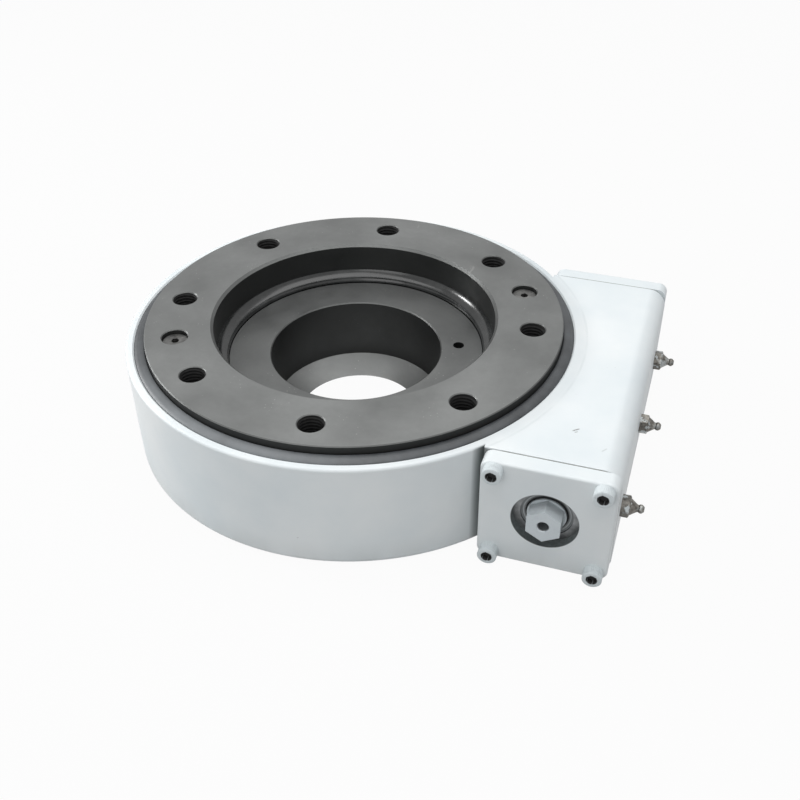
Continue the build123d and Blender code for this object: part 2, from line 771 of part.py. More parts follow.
# ---------------------------------------------------------------- covers, gaskets and cover screws
cover_stem_length = cover_thickness + gasket_thickness + cover_screw_depth - 1
with BuildPart() as cover_screw:
    with BuildSketch():
        Circle(cover_screw_head_radius)
    extrude(amount=cover_screw_head_height)
    chamfer(cover_screw.edges().group_by(Axis.Z)[-1], length=mouth_chamfer)
    with BuildSketch():
        Circle(cover_screw_radius - fit_play)
    extrude(amount=-cover_stem_length)
    with BuildSketch(Plane.XY.offset(cover_screw_head_height)):
        RegularPolygon(cover_screw_socket / 2, 6, major_radius=False)
    extrude(amount=-cover_screw_head_height / 2, mode=Mode.SUBTRACT)

with BuildPart() as flat_screw:
    with BuildSketch(Plane.XZ):
        with BuildLine():
            Polyline(
                (0, 0),
                (flat_screw_head_radius, 0),
                (cover_screw_radius - fit_play, cover_screw_radius - flat_screw_head_radius),
                (cover_screw_radius - fit_play, -cover_stem_length),
                (0, -cover_stem_length),
                close=True,
            )
        make_face()
    revolve(axis=Axis.Z)
    with BuildSketch():
        RegularPolygon(flat_screw_socket / 2, 6, major_radius=False)
    extrude(amount=-flat_screw_socket / 2, mode=Mode.SUBTRACT)

cover_width = box_width - 2 * cover_inset
cover_height = housing_top_z - 2 * cover_inset
cover_drop = housing_top_z / 2 - worm_axis_z
cup_wall_radius = race_radius_at(bearing_outer_y, cup_angle) + running_play

for side, end_name in ((-1, "front"), (1, "rear")):
    with BuildPart() as cover:
        with BuildSketch(end_plane(side, cover_seat_y)):
            with Locations((0, -side * cover_drop)):
                RectangleRounded(cover_width, cover_height, box_corner_radius)
        extrude(amount=cover_thickness)
        outer_edges = cover.faces().sort_by(Axis.Y)[0 if side < 0 else -1].edges()
        fillet(outer_edges, radius=cover_edge_fillet)
        with BuildSketch(end_plane(side, cover_seat_y)):
            Circle(bearing_outer_radius - fit_play)
            Circle(cup_wall_radius, mode=Mode.SUBTRACT)
        extrude(amount=-(cover_seat_y - bearing_outer_y))
        if side < 0:
            with BuildSketch(end_plane(side, cover_seat_y)):
                Circle(cup_wall_radius)
                Circle(cover_bore_radius, mode=Mode.SUBTRACT)
            extrude(amount=-(cover_seat_y - bearing_outer_y - floor_play))
            with BuildSketch(end_plane(side, cover_seat_y)):
                Circle(cover_bore_radius)
            extrude(amount=cover_thickness, mode=Mode.SUBTRACT)
        with Locations(end_plane(side, cover_face_y)):
            with GridLocations(cover_screw_width, cover_screw_height, 2, 2):
                if side < 0:
                    Hole(cover_screw_radius + cover_hole_play, depth=cover_thickness)
                else:
                    CounterSinkHole(
                        radius=cover_screw_radius + cover_hole_play,
                        counter_sink_radius=flat_screw_head_radius + cover_hole_play,
                        depth=cover_thickness,
                        counter_sink_angle=90,
                    )
    cover.part.label = f"{end_name}_cover"
    export_step(cover.part, f"parts/{end_name}_cover.step")

    with BuildPart() as gasket:
        with BuildSketch(end_plane(side, box_end_y)):
            with Locations((0, -side * cover_drop)):
                RectangleRounded(cover_width, cover_height, box_long_edge_radius)
            Circle(bearing_outer_radius, mode=Mode.SUBTRACT)
            with GridLocations(cover_screw_width, cover_screw_height, 2, 2):
                Circle(cover_screw_radius + cover_hole_play, mode=Mode.SUBTRACT)
        extrude(amount=gasket_thickness)
    gasket.part.label = f"{end_name}_gasket"
    export_step(gasket.part, f"parts/{end_name}_gasket.step")

    with BuildPart() as cover_screws:
        with Locations(end_plane(side, cover_face_y)):
            with GridLocations(cover_screw_width, cover_screw_height, 2, 2):
                add(cover_screw.part if side < 0 else flat_screw.part)
    cover_screws.part.label = f"{end_name}_cover_screws"
    export_step(cover_screws.part, f"parts/{end_name}_cover_screws.step")

# ---------------------------------------------------------------- shaft seal in the front cover
seal_back_y = bearing_outer_y + floor_play
seal_out_radius = cover_bore_radius - fit_play
lip_radius = seal_land_radius + running_play
spring_circle = seal_land_radius + garter_spring_rise
with BuildPart() as shaft_seal_case:
    with BuildSketch(worm_section(-1)):
        with BuildLine():
            Polyline(
                (seal_back_y, seal_out_radius),
                (seal_front_y, seal_out_radius),
                (seal_front_y, cover_bore_radius - seal_case_rim),
                (seal_front_y - seal_case_wall, cover_bore_radius - seal_case_rim),
                (seal_front_y - seal_case_wall, seal_out_radius - seal_case_wall),
                (seal_back_y, seal_out_radius - seal_case_wall),
                close=True,
            )
        make_face()
    revolve(axis=worm_axis)
shaft_seal_case.part.label = "shaft_seal_case"
export_step(shaft_seal_case.part, "parts/shaft_seal_case.step")

with BuildPart() as shaft_seal_lip:
    with BuildSketch(worm_section(-1)):
        with BuildLine():
            Polyline(
                (seal_front_y - seal_case_wall - fit_play, seal_out_radius - seal_case_wall - fit_play),
                (seal_front_y - seal_case_wall - fit_play, lip_radius + 0.8),
                (seal_front_y, lip_radius + 0.2),
                (seal_front_y - 0.8, lip_radius),
                (seal_front_y - 3.0, lip_radius + 0.6),
                (seal_front_y - 4.4, lip_radius),
                (seal_front_y - 5.0, lip_radius + 0.4),
                (seal_front_y - 5.0, spring_circle + 0.4),
                (seal_front_y - 2.4, spring_circle + 0.4),
                (seal_front_y - 2.0, seal_out_radius - seal_case_wall - fit_play),
                close=True,
            )
        make_face()
        with Locations((seal_front_y - garter_spring_drop, spring_circle)):
            Circle(garter_spring_radius + fit_play, mode=Mode.SUBTRACT)
    revolve(axis=worm_axis)
shaft_seal_lip.part.label = "shaft_seal_lip"
export_step(shaft_seal_lip.part, "parts/shaft_seal_lip.step")

with BuildPart() as garter_spring:
    with BuildSketch(worm_section(-1)):
        with Locations((seal_front_y - garter_spring_drop, spring_circle)):
            Circle(garter_spring_radius)
    revolve(axis=worm_axis)
garter_spring.part.label = "garter_spring"
export_step(garter_spring.part, "parts/garter_spring.step")

# ---------------------------------------------------------------- grease nipples and their check balls
with BuildPart() as nipple:
    with BuildSketch():
        RegularPolygon(nipple_hex_across / 2, 6, major_radius=False)
    extrude(amount=nipple_hex_height)
    with BuildSketch(Plane.XZ):
        with BuildLine():
            Polyline(
                (0, -nipple_thread_length),
                (nipple_thread_radius - fit_play, -nipple_thread_length),
                (nipple_thread_radius - fit_play, nipple_hex_height),
                (nipple_neck_radius, nipple_hex_height + nipple_cone_height),
                (nipple_neck_radius, nipple_height - nipple_head_height),
                (nipple_head_radius, nipple_height - 0.7 * nipple_head_height),
                (nipple_head_radius, nipple_height - 0.4 * nipple_head_height),
                (nipple_head_radius / 2, nipple_height),
                (0, nipple_height),
                close=True,
            )
        make_face()
    revolve(axis=Axis.Z)
    with Locations((0, 0, nipple_height)):
        Hole(nipple_ball_radius + fit_play, depth=nipple_height + nipple_thread_length)

with BuildPart() as grease_nipples:
    with Locations(nipple_plane):
        with Locations(nipple_points):
            add(nipple.part)
grease_nipples.part.label = "grease_nipples"
export_step(grease_nipples.part, "parts/grease_nipples.step")

with BuildPart() as nipple_balls:
    with Locations(nipple_plane.offset(nipple_height - nipple_ball_radius)):
        with Locations(nipple_points):
            Sphere(nipple_ball_radius)
nipple_balls.part.label = "nipple_balls"
export_step(nipple_balls.part, "parts/nipple_balls.step")
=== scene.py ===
"""Looks of an enclosed worm-gear slewing drive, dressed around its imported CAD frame.

The frame is in metres: +Z is the slewing axis, +X points to the worm, and the worm's drive end
faces -Y. Shapes are drawn in millimetres and scaled as their meshes are made. Shaders read the
object's own coordinates, in metres.
"""
import logging
import math
from dataclasses import dataclass, field
from enum import Enum
from functools import cached_property
from typing import Iterable, Sequence

import bmesh
import bpy
from bmesh.types import BMesh, BMVert
from bpy.types import GeometryNodeTree, ID, Material, Node, NodeOutputs, NodeSocket, NodeTree, Object
from mathutils import Matrix, Vector


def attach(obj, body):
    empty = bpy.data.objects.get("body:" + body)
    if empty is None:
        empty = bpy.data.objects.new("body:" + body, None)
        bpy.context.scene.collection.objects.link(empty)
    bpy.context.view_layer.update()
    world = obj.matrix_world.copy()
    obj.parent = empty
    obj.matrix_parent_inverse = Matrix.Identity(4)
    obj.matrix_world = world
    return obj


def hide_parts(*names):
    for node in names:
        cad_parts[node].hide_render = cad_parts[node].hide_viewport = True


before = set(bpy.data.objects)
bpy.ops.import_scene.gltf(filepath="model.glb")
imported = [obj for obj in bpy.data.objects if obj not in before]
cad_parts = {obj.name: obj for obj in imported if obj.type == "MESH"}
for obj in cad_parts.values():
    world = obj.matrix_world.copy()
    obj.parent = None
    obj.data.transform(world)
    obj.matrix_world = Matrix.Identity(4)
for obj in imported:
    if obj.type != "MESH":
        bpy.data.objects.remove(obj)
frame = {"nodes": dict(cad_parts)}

LOG = logging.getLogger("slewing_drive")
Point = tuple[float, float]
Color = tuple[float, float, float]

MM = 0.001
FACETS = 288
SMALL_FACETS = 48
DRILL_FACETS = 24

HOUSING_TOP = 64.0
BOX_SIDE = 166.7
WORM_X = 132.7
WORM_Z = 32.0
WORM_AXIS = (WORM_X * MM, WORM_Z * MM)
COVER_SEAT = 86.497
COVER_FACE = 95.497
SCREW_SPACING = 53.6
SCREW_SPOTS = tuple((u, v) for u in (-SCREW_SPACING / 2, SCREW_SPACING / 2)
                    for v in (-SCREW_SPACING / 2, SCREW_SPACING / 2))
PROUD = 1.0  # how far a cutter stands out of what it cuts
NIPPLE_PLACES = (-69.0, 0.0, 64.0)
NIPPLE_Z = 29.0


# ---------------- node trees
def put(tree: NodeTree, kind: str, inputs: dict, **settings: object) -> Node:
    """Add a node to a tree.

    Args:
        tree: the tree.
        kind: the node's type.
        inputs: values, outputs or Sockets by input name or number.
        settings: the node's own properties, set before its inputs.

    Returns:
        The node.
    """
    made = tree.nodes.new(kind)
    for key, value in settings.items():
        setattr(made, key, value)
    for key, value in inputs.items():
        plug(tree, made.inputs[key], value)
    return made


def plug(tree: NodeTree, target: NodeSocket, value: object) -> None:
    """Feed an input.

    Args:
        tree: the tree that holds it.
        target: the input.
        value: a Socket or an output to link, or a plain value to set.
    """
    source = value.link if isinstance(value, Socket) else value
    if isinstance(source, NodeSocket):
        tree.links.new(source, target)
    else:
        target.default_value = source


class Socket:
    """A shader value with arithmetic: each operation adds one Math node to its tree."""

    def __init__(self, tree: "ShaderTree", link: NodeSocket) -> None:
        """Wrap a node's output."""
        self.tree = tree
        self.link = link

    def _math(self, operation: str, first: object, second: object = 0.0, clamp: bool = False) -> "Socket":
        """Add a Math node and wrap its result."""
        inputs = {0: first, 1: second}
        return self.tree.node("ShaderNodeMath", inputs, operation=operation, use_clamp=clamp)

    def __add__(self, other: object) -> "Socket":
        """Sum."""
        return self._math("ADD", self, other)

    def __radd__(self, other: object) -> "Socket":
        """Sum with a number on the left."""
        return self._math("ADD", other, self)

    def __sub__(self, other: object) -> "Socket":
        """Difference."""
        return self._math("SUBTRACT", self, other)

    def __rsub__(self, other: object) -> "Socket":
        """Difference with a number on the left."""
        return self._math("SUBTRACT", other, self)

    def __mul__(self, other: object) -> "Socket":
        """Product."""
        return self._math("MULTIPLY", self, other)

    def __rmul__(self, other: object) -> "Socket":
        """Product with a number on the left."""
        return self._math("MULTIPLY", other, self)

    def __truediv__(self, other: object) -> "Socket":
        """Quotient."""
        return self._math("DIVIDE", self, other)

    def __pow__(self, other: object) -> "Socket":
        """Power."""
        return self._math("POWER", self, other)

    def __abs__(self) -> "Socket":
        """Size without its sign."""
        return self._math("ABSOLUTE", self)

    def wave(self, pitch: float) -> "Socket":
        """A sine wave of a pitch in metres, from -1 to 1."""
        return self._math("SINE", self * (2 * math.pi / pitch))

    def clamp(self) -> "Socket":
        """The value kept between 0 and 1."""
        return self._math("ADD", self, 0.0, clamp=True)

    def above(self, edge: float, soft: float) -> "Socket":
        """Rise from 0 to 1 over a soft width that is centred on an edge."""
        return ((self - (edge - soft / 2)) / soft).clamp()

    def below(self, edge: float, soft: float) -> "Socket":
        """The reverse of above."""
        return 1 - self.above(edge, soft)

    def near(self, width: float) -> "Socket":
        """1 where the value is 0, falling to 0 at a width to either side."""
        return (1 - (self * self) / (width ** 2)).clamp()


class ShaderTree:
    """The node tree of a material or world, with short calls for what the finishes use."""

    def __init__(self, owner: ID, shader: str = "Principled BSDF") -> None:
        """Open the tree.

        Args:
            owner: a new material or world.
            shader: the name of the shader node it starts with.
        """
        owner.use_nodes = True
        self.owner = owner
        self.tree = owner.node_tree
        self.shader = self.tree.nodes[shader]

    @classmethod
    def named(cls, name: str) -> "ShaderTree":
        """Start a material with one Principled shader."""
        return cls(bpy.data.materials.new(name))

    @cached_property
    def place(self) -> NodeSocket:
        """The object's own coordinates."""
        return put(self.tree, "ShaderNodeTexCoord", {}).outputs["Object"]

    def node(self, kind: str, inputs: dict, output: object = 0, **settings: object) -> Socket:
        """Add any node and wrap one of its outputs."""
        return Socket(self, put(self.tree, kind, inputs, **settings).outputs[output])

    def axes(self) -> tuple[Socket, Socket, Socket]:
        """The object's x, y and z in metres."""
        split = put(self.tree, "ShaderNodeSeparateXYZ", {0: self.place})
        return tuple(Socket(self, out) for out in split.outputs)

    def upright(self) -> Socket:
        """How far the surface faces up or down, from 0 on walls to 1 on level faces."""
        normal = put(self.tree, "ShaderNodeNewGeometry", {}).outputs["Normal"]
        return abs(self.node("ShaderNodeSeparateXYZ", {0: normal}, 2))

    @staticmethod
    def distance(first: Socket, second: Socket, middle: Point = (0.0, 0.0)) -> Socket:
        """Distance from a middle point, in the plane of two coordinates."""
        across, up = first - middle[0], second - middle[1]
        return (across * across + up * up) ** 0.5

    def noise(self, scale: float, detail: float = 3.0, rough: float = 0.55, stretch: tuple = ()) -> Socket:
        """Smooth noise in object space.

        Args:
            scale: features per metre.
            detail: octaves.
            rough: weight of the finer octaves.
            stretch: scale of the pattern along each axis, if not even.

        Returns:
            The noise, about 0.5 on average.
        """
        place: object = self.place
        if stretch:
            place = self.node("ShaderNodeMapping", {"Vector": self.place, "Scale": stretch})
        inputs = {"Vector": place, "Scale": scale, "Detail": detail, "Roughness": rough}
        return self.node("ShaderNodeTexNoise", inputs, "Fac")

    def cells(self, scale: float) -> Socket:
        """Distance to the nearest of scattered points, for specks and pits."""
        return self.node("ShaderNodeTexVoronoi", {"Vector": self.place, "Scale": scale}, "Distance")

    def blend(self, factor: object, first: object, second: object) -> Socket:
        """Mix two colours.

        Args:
            factor: 0 for the first, 1 for the second.
            first: an RGB tuple or a colour Socket.
            second: an RGB tuple or a colour Socket.

        Returns:
            The mixed colour.
        """
        made = put(self.tree, "ShaderNodeMix", {}, data_type="RGBA")
        slots = {"Factor_Float": factor, "A_Color": first, "B_Color": second}
        for socket in made.inputs:
            if socket.identifier in slots:
                value = slots[socket.identifier]
                plug(self.tree, socket, (*value, 1.0) if isinstance(value, tuple) else value)
        result = next(out for out in made.outputs if out.identifier == "Result_Color")
        return Socket(self, result)

    def relief(self, height: Socket, depth: float, strength: float = 0.5) -> None:
        """Send a pattern of 0 to 1 to the shader's normal, with its depth in metres."""
        inputs = {"Strength": strength, "Distance": depth, "Height": height}
        plug(self.tree, self.shader.inputs["Normal"], self.node("ShaderNodeBump", inputs, "Normal"))

    def surface(self, **sockets: object) -> ID:
        """Set the shader's sockets.

        Args:
            sockets: values by socket name, with _ for a space.

        Returns:
            The finished material or world.
        """
        for key, value in sockets.items():
            if isinstance(value, tuple) and len(value) == 3:
                value = (*value, 1.0)
            plug(self.tree, self.shader.inputs[key.replace("_", " ")], value)
        return self.owner


# ---------------- finishes
@dataclass(frozen=True)
class CastPaint:
    """Thick pale coat over a casting, with cloudy tone, orange peel, nicks and a dusty foot, and painted
    shade in the corners by the box's ends and inside a cover's bore.
    """

    name: str = "cast_paint"
    base: Color = (0.700, 0.745, 0.760)
    cool: Color = (0.610, 0.668, 0.690)
    warm: Color = (0.775, 0.795, 0.792)
    bare: Color = (0.190, 0.190, 0.185)
    # the dark colour of painted shade, put in the corners by the box's ends and inside a cover's bore
    painted_shade: Color = (0.075, 0.088, 0.088)
    dust: Color = (0.42, 0.43, 0.41)
    groove: Color = (0.45, 0.49, 0.50)
    nicks: tuple = ()
    nick_width: float = 0.00055
    seam_radius: float = 0.0
    seam_width: float = 0.0009
    # corner and its reach: where painted shade darkens the barrel beside the box's front and rear ends
    corner: Point = (0.0, 0.0)
    corner_shade_reach: float = 0.0062
    # the radius round the worm axis inside which a cover's bore is coloured with painted shade
    shaded_bore: float = 0.0

    def build(self) -> Material:
        """Make the material."""
        tree = ShaderTree.named(self.name)
        x, y, z = tree.axes()
        cloud = tree.noise(16, 4)
        drift = tree.noise(45, 3, 0.5, (1, 1, 0.35))
        peel = tree.noise(620, 2)
        grit = tree.noise(1900, 2)
        tone = tree.blend(cloud.above(0.5, 0.34), self.cool, self.warm)
        tone = tree.blend(0.25 + 0.3 * drift, tone, self.base)
        foot = z.below(0.008, 0.016) * drift.above(0.45, 0.3)
        tone = tree.blend(foot * 0.28, tone, self.dust)
        wear = tree.noise(150, 5, 0.7).above(0.735, 0.02)
        height = peel * 0.6 + grit * 0.25
        if self.seam_radius:
            seam = (tree.distance(x, y) - self.seam_radius).near(self.seam_width)
            seam = seam * z.above(0.0625, 0.001) * drift.above(0.42, 0.2)
            tone = tree.blend(seam * 0.22, tone, self.groove)
            height = height - seam * 0.6
        for start, end, strength in self.nicks:
            mark = self._stroke(x, y, start, end) * z.above(0.06, 0.002) * grit.above(0.36, 0.2)
            tone = tree.blend(mark * strength, tone, self.bare)
            height = height - mark * strength
        # Painted shade in the corners where the barrel meets the box's front and rear ends.
        if self.corner[0]:
            corner_shade = tree.distance(x, abs(y), self.corner).near(self.corner_shade_reach) * z.below(0.0632, 0.0008)
            tone = tree.blend(corner_shade * (0.62 + 0.5 * drift), tone, self.painted_shade)
        # Painted shade inside the cover's bore round the worm axis.
        if self.shaded_bore:
            shaded_inside = tree.distance(x, z, WORM_AXIS).below(self.shaded_bore, 0.0003)
            tone = tree.blend(shaded_inside * (0.80 + 0.25 * peel), tone, self.painted_shade)
        tone = tree.blend(wear * 0.5, tone, self.bare)
        rough = 0.40 + 0.16 * cloud + 0.06 * peel
        tree.relief(height - wear * 0.5, 0.00012, 0.55)
        return tree.surface(Base_Color=tone, Roughness=rough, Coat_Weight=0.12, Coat_Roughness=0.3)

    def _stroke(self, x: Socket, y: Socket, start: Point, end: Point) -> Socket:
        """A short dark scratch.

        Args:
            x: the object's x.
            y: the object's y.
            start: one end, in metres.
            end: the other end.

        Returns:
            1 along the scratch and 0 away from it.
        """
        length = math.dist(start, end)
        way = ((end[0] - start[0]) / length, (end[1] - start[1]) / length)
        along = ((x - start[0]) * way[0] + (y - start[1]) * way[1]) / length
        across = (x - start[0]) * -way[1] + (y - start[1]) * way[0]
        return along.above(0.0, 0.3) * along.below(1.0, 0.3) * across.near(self.nick_width)


@dataclass(frozen=True)
class ScrewPaint:
    """Coat sprayed over a cover's four screws, thin in patches and missing in their sockets, which are
    coloured near black as bare screw deepened by painted shade.
    """

    name: str = "screw_paint"
    base: Color = (0.600, 0.650, 0.665)
    thin: Color = (0.440, 0.480, 0.490)
    # near black in the sockets: the bare screw, deepened by painted shade of the recess
    bare: Color = (0.012, 0.012, 0.012)
    reach: float = SCREW_SPACING / 2 * MM
    socket: float = 0.00290

    def build(self) -> Material:
        """Make the material."""
        tree = ShaderTree.named(self.name)
        x, _, z = tree.axes()
        across, up = abs(x - WORM_AXIS[0]), abs(z - WORM_AXIS[1])
        shaded_inside = tree.distance(across, up, (self.reach, self.reach)).below(self.socket, 0.0003)
        patch = tree.noise(380, 4, 0.6)
        grit = tree.noise(1900, 2)
        tone = tree.blend(patch.above(0.60, 0.08) * 0.5, self.base, self.thin)
        # Painted shade: the sockets are coloured near black, darker than the bare screw alone.
        tone = tree.blend(shaded_inside, tone, self.bare)
        tree.relief(patch + grit * 0.4, 0.00008)
        return tree.surface(Base_Color=tone, Roughness=0.42 + 0.15 * patch + shaded_inside * 0.25)


@dataclass(frozen=True)
class TurnedSteel:
    """Steel turned on a lathe: fine rings about the slewing axis, specks, oil film and rubs, with painted
    shade on its upright walls.
    """

    name: str = "black_oxide"
    dark: Color = (0.130, 0.134, 0.132)
    pale: Color = (0.212, 0.218, 0.215)
    scuff: Color = (0.42, 0.42, 0.41)
    # shade and wall: the colour of painted shade on upright walls and how much of it they take
    shade: Color = (0.020, 0.021, 0.021)
    wall: float = 0.80
    ring_pitch: float = 0.0007

    def build(self) -> Material:
        """Make the material."""
        tree = ShaderTree.named(self.name)
        x, y, z = tree.axes()
        cloud = tree.noise(22, 4)
        film = tree.noise(90, 4, 0.6)
        rings = (tree.distance(x, y) + z).wave(self.ring_pitch)
        specks = tree.cells(420).below(0.10, 0.05) * tree.noise(70, 2).above(0.60, 0.06)
        rubs = tree.noise(130, 4, 0.65, (1.0, 0.18, 1.0)).above(0.70, 0.05)
        tone = tree.blend(cloud.above(0.5, 0.4), self.dark, self.pale)
        tone = tree.blend(film.above(0.55, 0.5) * 0.45, tone, self.dark)
        tone = tree.blend((specks * 0.55 + rubs * 0.22).clamp(), tone, self.scuff)
        # Painted shade: faces that stand sideways are darkened towards the shade colour, while level faces
        # stay lighter.
        tone = tree.blend(tree.upright().below(0.70, 0.3) * self.wall, tone, self.shade)
        tree.relief(rings * 0.5 + film * 0.6 + specks * 2.0, 0.00003)
        return tree.surface(Base_Color=tone, Roughness=0.36 + 0.16 * film + 0.05 * cloud, Metallic=0.92)


@dataclass(frozen=True)
class SealRubber:
    """Black nitrile with a faint sheen, moulding ripple and dust, which may lie thicker in front."""

    name: str = "seal_rubber"
    dark: Color = (0.022, 0.025, 0.028)
    dusty: Color = (0.075, 0.082, 0.088)
    powder: Color = (0.170, 0.182, 0.190)
    gloss: float = 0.36
    settled: float = 0.0

    def build(self) -> Material:
        """Make the material."""
        tree = ShaderTree.named(self.name)
        dust = tree.noise(75, 5, 0.6)
        ripple = tree.noise(500, 2)
        tone = tree.blend(dust.above(0.52, 0.35) * 0.7, self.dark, self.dusty)
        if self.settled:
            x, y, _ = tree.axes()
            front = y.below(-0.085, 0.05) * x.below(0.035, 0.07) * (0.55 + 0.9 * dust)
            tone = tree.blend((front * self.settled).clamp(), tone, self.powder)
        tree.relief(ripple, 0.00005, 0.35)
        return tree.surface(Base_Color=tone, Roughness=self.gloss + 0.22 * dust)


@dataclass(frozen=True)
class PlainMetal:
    """Bright, plated or blackened metal, or plastic, with streaks, pits and uneven polish."""

    name: str
    dark: Color
    pale: Color
    rough: float = 0.3
    metallic: float = 1.0

    def build(self) -> Material:
        """Make the material."""
        tree = ShaderTree.named(self.name)
        cloud = tree.noise(260, 4, 0.6)
        pits = tree.noise(1560, 2)
        tone = tree.blend(cloud.above(0.5, 0.4), self.dark, self.pale)
        tree.relief(cloud * 0.5 + pits * 0.5, 0.00003)
        return tree.surface(Base_Color=tone, Roughness=self.rough + 0.22 * cloud, Metallic=self.metallic)


@dataclass(frozen=True)
class ShaftSealFace:
    """Rubber face of a shaft seal with moulded rings, dusted by the housing's paint, with a thin painted
    highlight ring.
    """

    name: str = "shaft_seal_face"
    dark: Color = (0.020, 0.021, 0.022)
    dusted: Color = (0.230, 0.245, 0.252)
    painted_highlight: Color = (0.52, 0.55, 0.56)
    bright: float = 0.0119

    def build(self) -> Material:
        """Make the material."""
        tree = ShaderTree.named(self.name)
        x, _, z = tree.axes()
        from_shaft = tree.distance(x, z, WORM_AXIS)
        patch = tree.noise(300, 4, 0.6)
        mist = from_shaft.above(0.0110, 0.0006) * (0.55 + 0.45 * patch)
        tone = tree.blend(mist, self.dark, self.dusted)
        # Painted highlight: a thin pale ring at the bright radius round the shaft.
        tone = tree.blend((from_shaft - self.bright).near(0.00035) * 0.7, tone, self.painted_highlight)
        tree.relief(from_shaft.wave(0.0011) * 0.3 + patch, 0.00012, 0.6)
        return tree.surface(Base_Color=tone, Roughness=0.32 + 0.25 * patch)


@dataclass(frozen=True)
class SprayedNipple:
    """Dull plated nipple with paint overspray that thins out away from the housing."""

    name: str = "nipple_plating"
    dark: Color = (0.055, 0.051, 0.045)
    pale: Color = (0.230, 0.220, 0.200)
    spray: Color = (0.560, 0.600, 0.610)
    reach: float = 0.1722

    def build(self) -> Material:
        """Make the material."""
        tree = ShaderTree.named(self.name)
        x, _, _ = tree.axes()
        cloud = tree.noise(520, 4, 0.6)
        patch = tree.noise(240, 3)
        sprayed = (patch.above(0.56, 0.08) * (0.25 + 0.6 * x.below(self.reach, 0.006))).clamp()
        tone = tree.blend(cloud.above(0.5, 0.4), self.dark, self.pale)
        tone = tree.blend(sprayed, tone, self.spray)
        tree.relief(cloud + sprayed * 0.4, 0.00006)
        rough = 0.26 + 0.2 * cloud + 0.1 * sprayed
        return tree.surface(Base_Color=tone, Roughness=rough, Metallic=0.95 - 0.9 * sprayed)


@dataclass(frozen=True)
class SprayedShaft:
    """Ground steel whose end outside the cover caught the housing's spray coat, with painted shade in its
    centre hole.
    """

    name: str = "sprayed_shaft"
    steel: Color = (0.40, 0.41, 0.42)
    dull: Color = (0.24, 0.25, 0.26)
    coat: Color = (0.60, 0.655, 0.68)
    thin: Color = (0.48, 0.52, 0.545)
    # dark: the painted shade of the shaft's centre hole
    dark: Color = (0.030, 0.030, 0.030)
    sprayed_from: float = -0.0885
    hole: float = 0.00292

    def build(self) -> Material:
        """Make the material."""
        tree = ShaderTree.named(self.name)
        x, y, z = tree.axes()
        shaded_inside = tree.distance(x, z, WORM_AXIS).below(self.hole, 0.0003)
        patch = tree.noise(420, 4, 0.6)
        cover = 0.75 + 0.25 * patch.above(0.42, 0.2)
        coated = y.below(self.sprayed_from, 0.002) * cover * (1 - shaded_inside)
        steel = tree.blend(patch.above(0.5, 0.4), self.steel, self.dull)
        # Painted shade: the centre hole at the shaft's end is coloured near black.
        steel = tree.blend(shaded_inside, steel, self.dark)
        coat = tree.blend(patch.above(0.5, 0.3) * 0.5, self.coat, self.thin)
        tree.relief(patch, 0.00006)
        tone = tree.blend(coated, steel, coat)
        return tree.surface(Base_Color=tone, Metallic=0.95 - 0.95 * coated, Roughness=0.30 + 0.2 * patch)


# ---------------- outlines, in millimetres
def rounded(corners: Sequence[tuple[float, float, float]], steps: int = 5) -> list[Point]:
    """Round the corners of a closed outline.

    Args:
        corners: (u, v, radius) of each corner in order.
        steps: points on each rounding.

    Returns:
        The outline's points.
    """
    outline: list[Point] = []
    for index, (u, v, radius) in enumerate(corners):
        here = Vector((u, v))
        if radius <= 0:
            outline.append((u, v))
            continue
        before = (Vector(corners[index - 1][:2]) - here).normalized()
        after = (Vector(corners[(index + 1) % len(corners)][:2]) - here).normalized()
        half = before.angle(after) / 2
        reach = radius / math.tan(half)
        centre = here + (before + after).normalized() * (radius / math.sin(half))
        first = here + before * reach - centre
        last = here + after * reach - centre
        sweep = math.atan2(first.x * last.y - first.y * last.x, first.dot(last))
        for step in range(steps + 1):
            point = centre + Matrix.Rotation(sweep * step / steps, 2) @ first
            outline.append((point.x, point.y))
    return outline


def arc(centre: Point, radius: float, start: float, end: float, steps: int) -> list[Point]:
    """Points on an arc, with its angles in degrees."""
    angles = [math.radians(start + (end - start) * step / steps) for step in range(steps + 1)]
    return [(centre[0] + radius * math.cos(a), centre[1] + radius * math.sin(a)) for a in angles]


def disc(radius: float, facets: int) -> list[Point]:
    """Points of a circle."""
    turns = [2 * math.pi * step / facets for step in range(facets)]
    return [(radius * math.cos(t), radius * math.sin(t)) for t in turns]


def hexagon(across: float) -> list[Point]:
    """Corners of a hexagon of a size across flats."""
    return disc(across / math.sqrt(3), 6)


# ---------------- meshes
def to_object(name: str, shape: BMesh, clean: bool = True) -> Object:
    """Put a bmesh into a new object at the origin.

    Args:
        name: the object's name.
        shape: the mesh, which is freed.
        clean: join doubled points and turn the faces outward.

    Returns:
        The object.
    """
    if clean:
        bmesh.ops.remove_doubles(shape, verts=shape.verts, dist=1e-7)
        bmesh.ops.recalc_face_normals(shape, faces=shape.faces)
    mesh = bpy.data.meshes.new(name)
    shape.to_mesh(mesh)
    shape.free()
    made = bpy.data.objects.new(name, mesh)
    bpy.context.scene.collection.objects.link(made)
    return made


def hoop(shape: BMesh, reaches: Sequence[float], height: float) -> list[BMVert]:
    """Add points round the z axis.

    Args:
        shape: the mesh they join.
        reaches: their distances from the axis, in even steps of turn.
        height: their height.

    Returns:
        The points, or one point as many times where every distance is 0.
    """
    if not any(reaches):
        return [shape.verts.new((0, 0, height * MM))] * len(reaches)
    turns = [2 * math.pi * step / len(reaches) for step in range(len(reaches))]
    return [
        shape.verts.new((reach * MM * math.cos(turn), reach * MM * math.sin(turn), height * MM))
        for reach, turn in zip(reaches, turns)
    ]


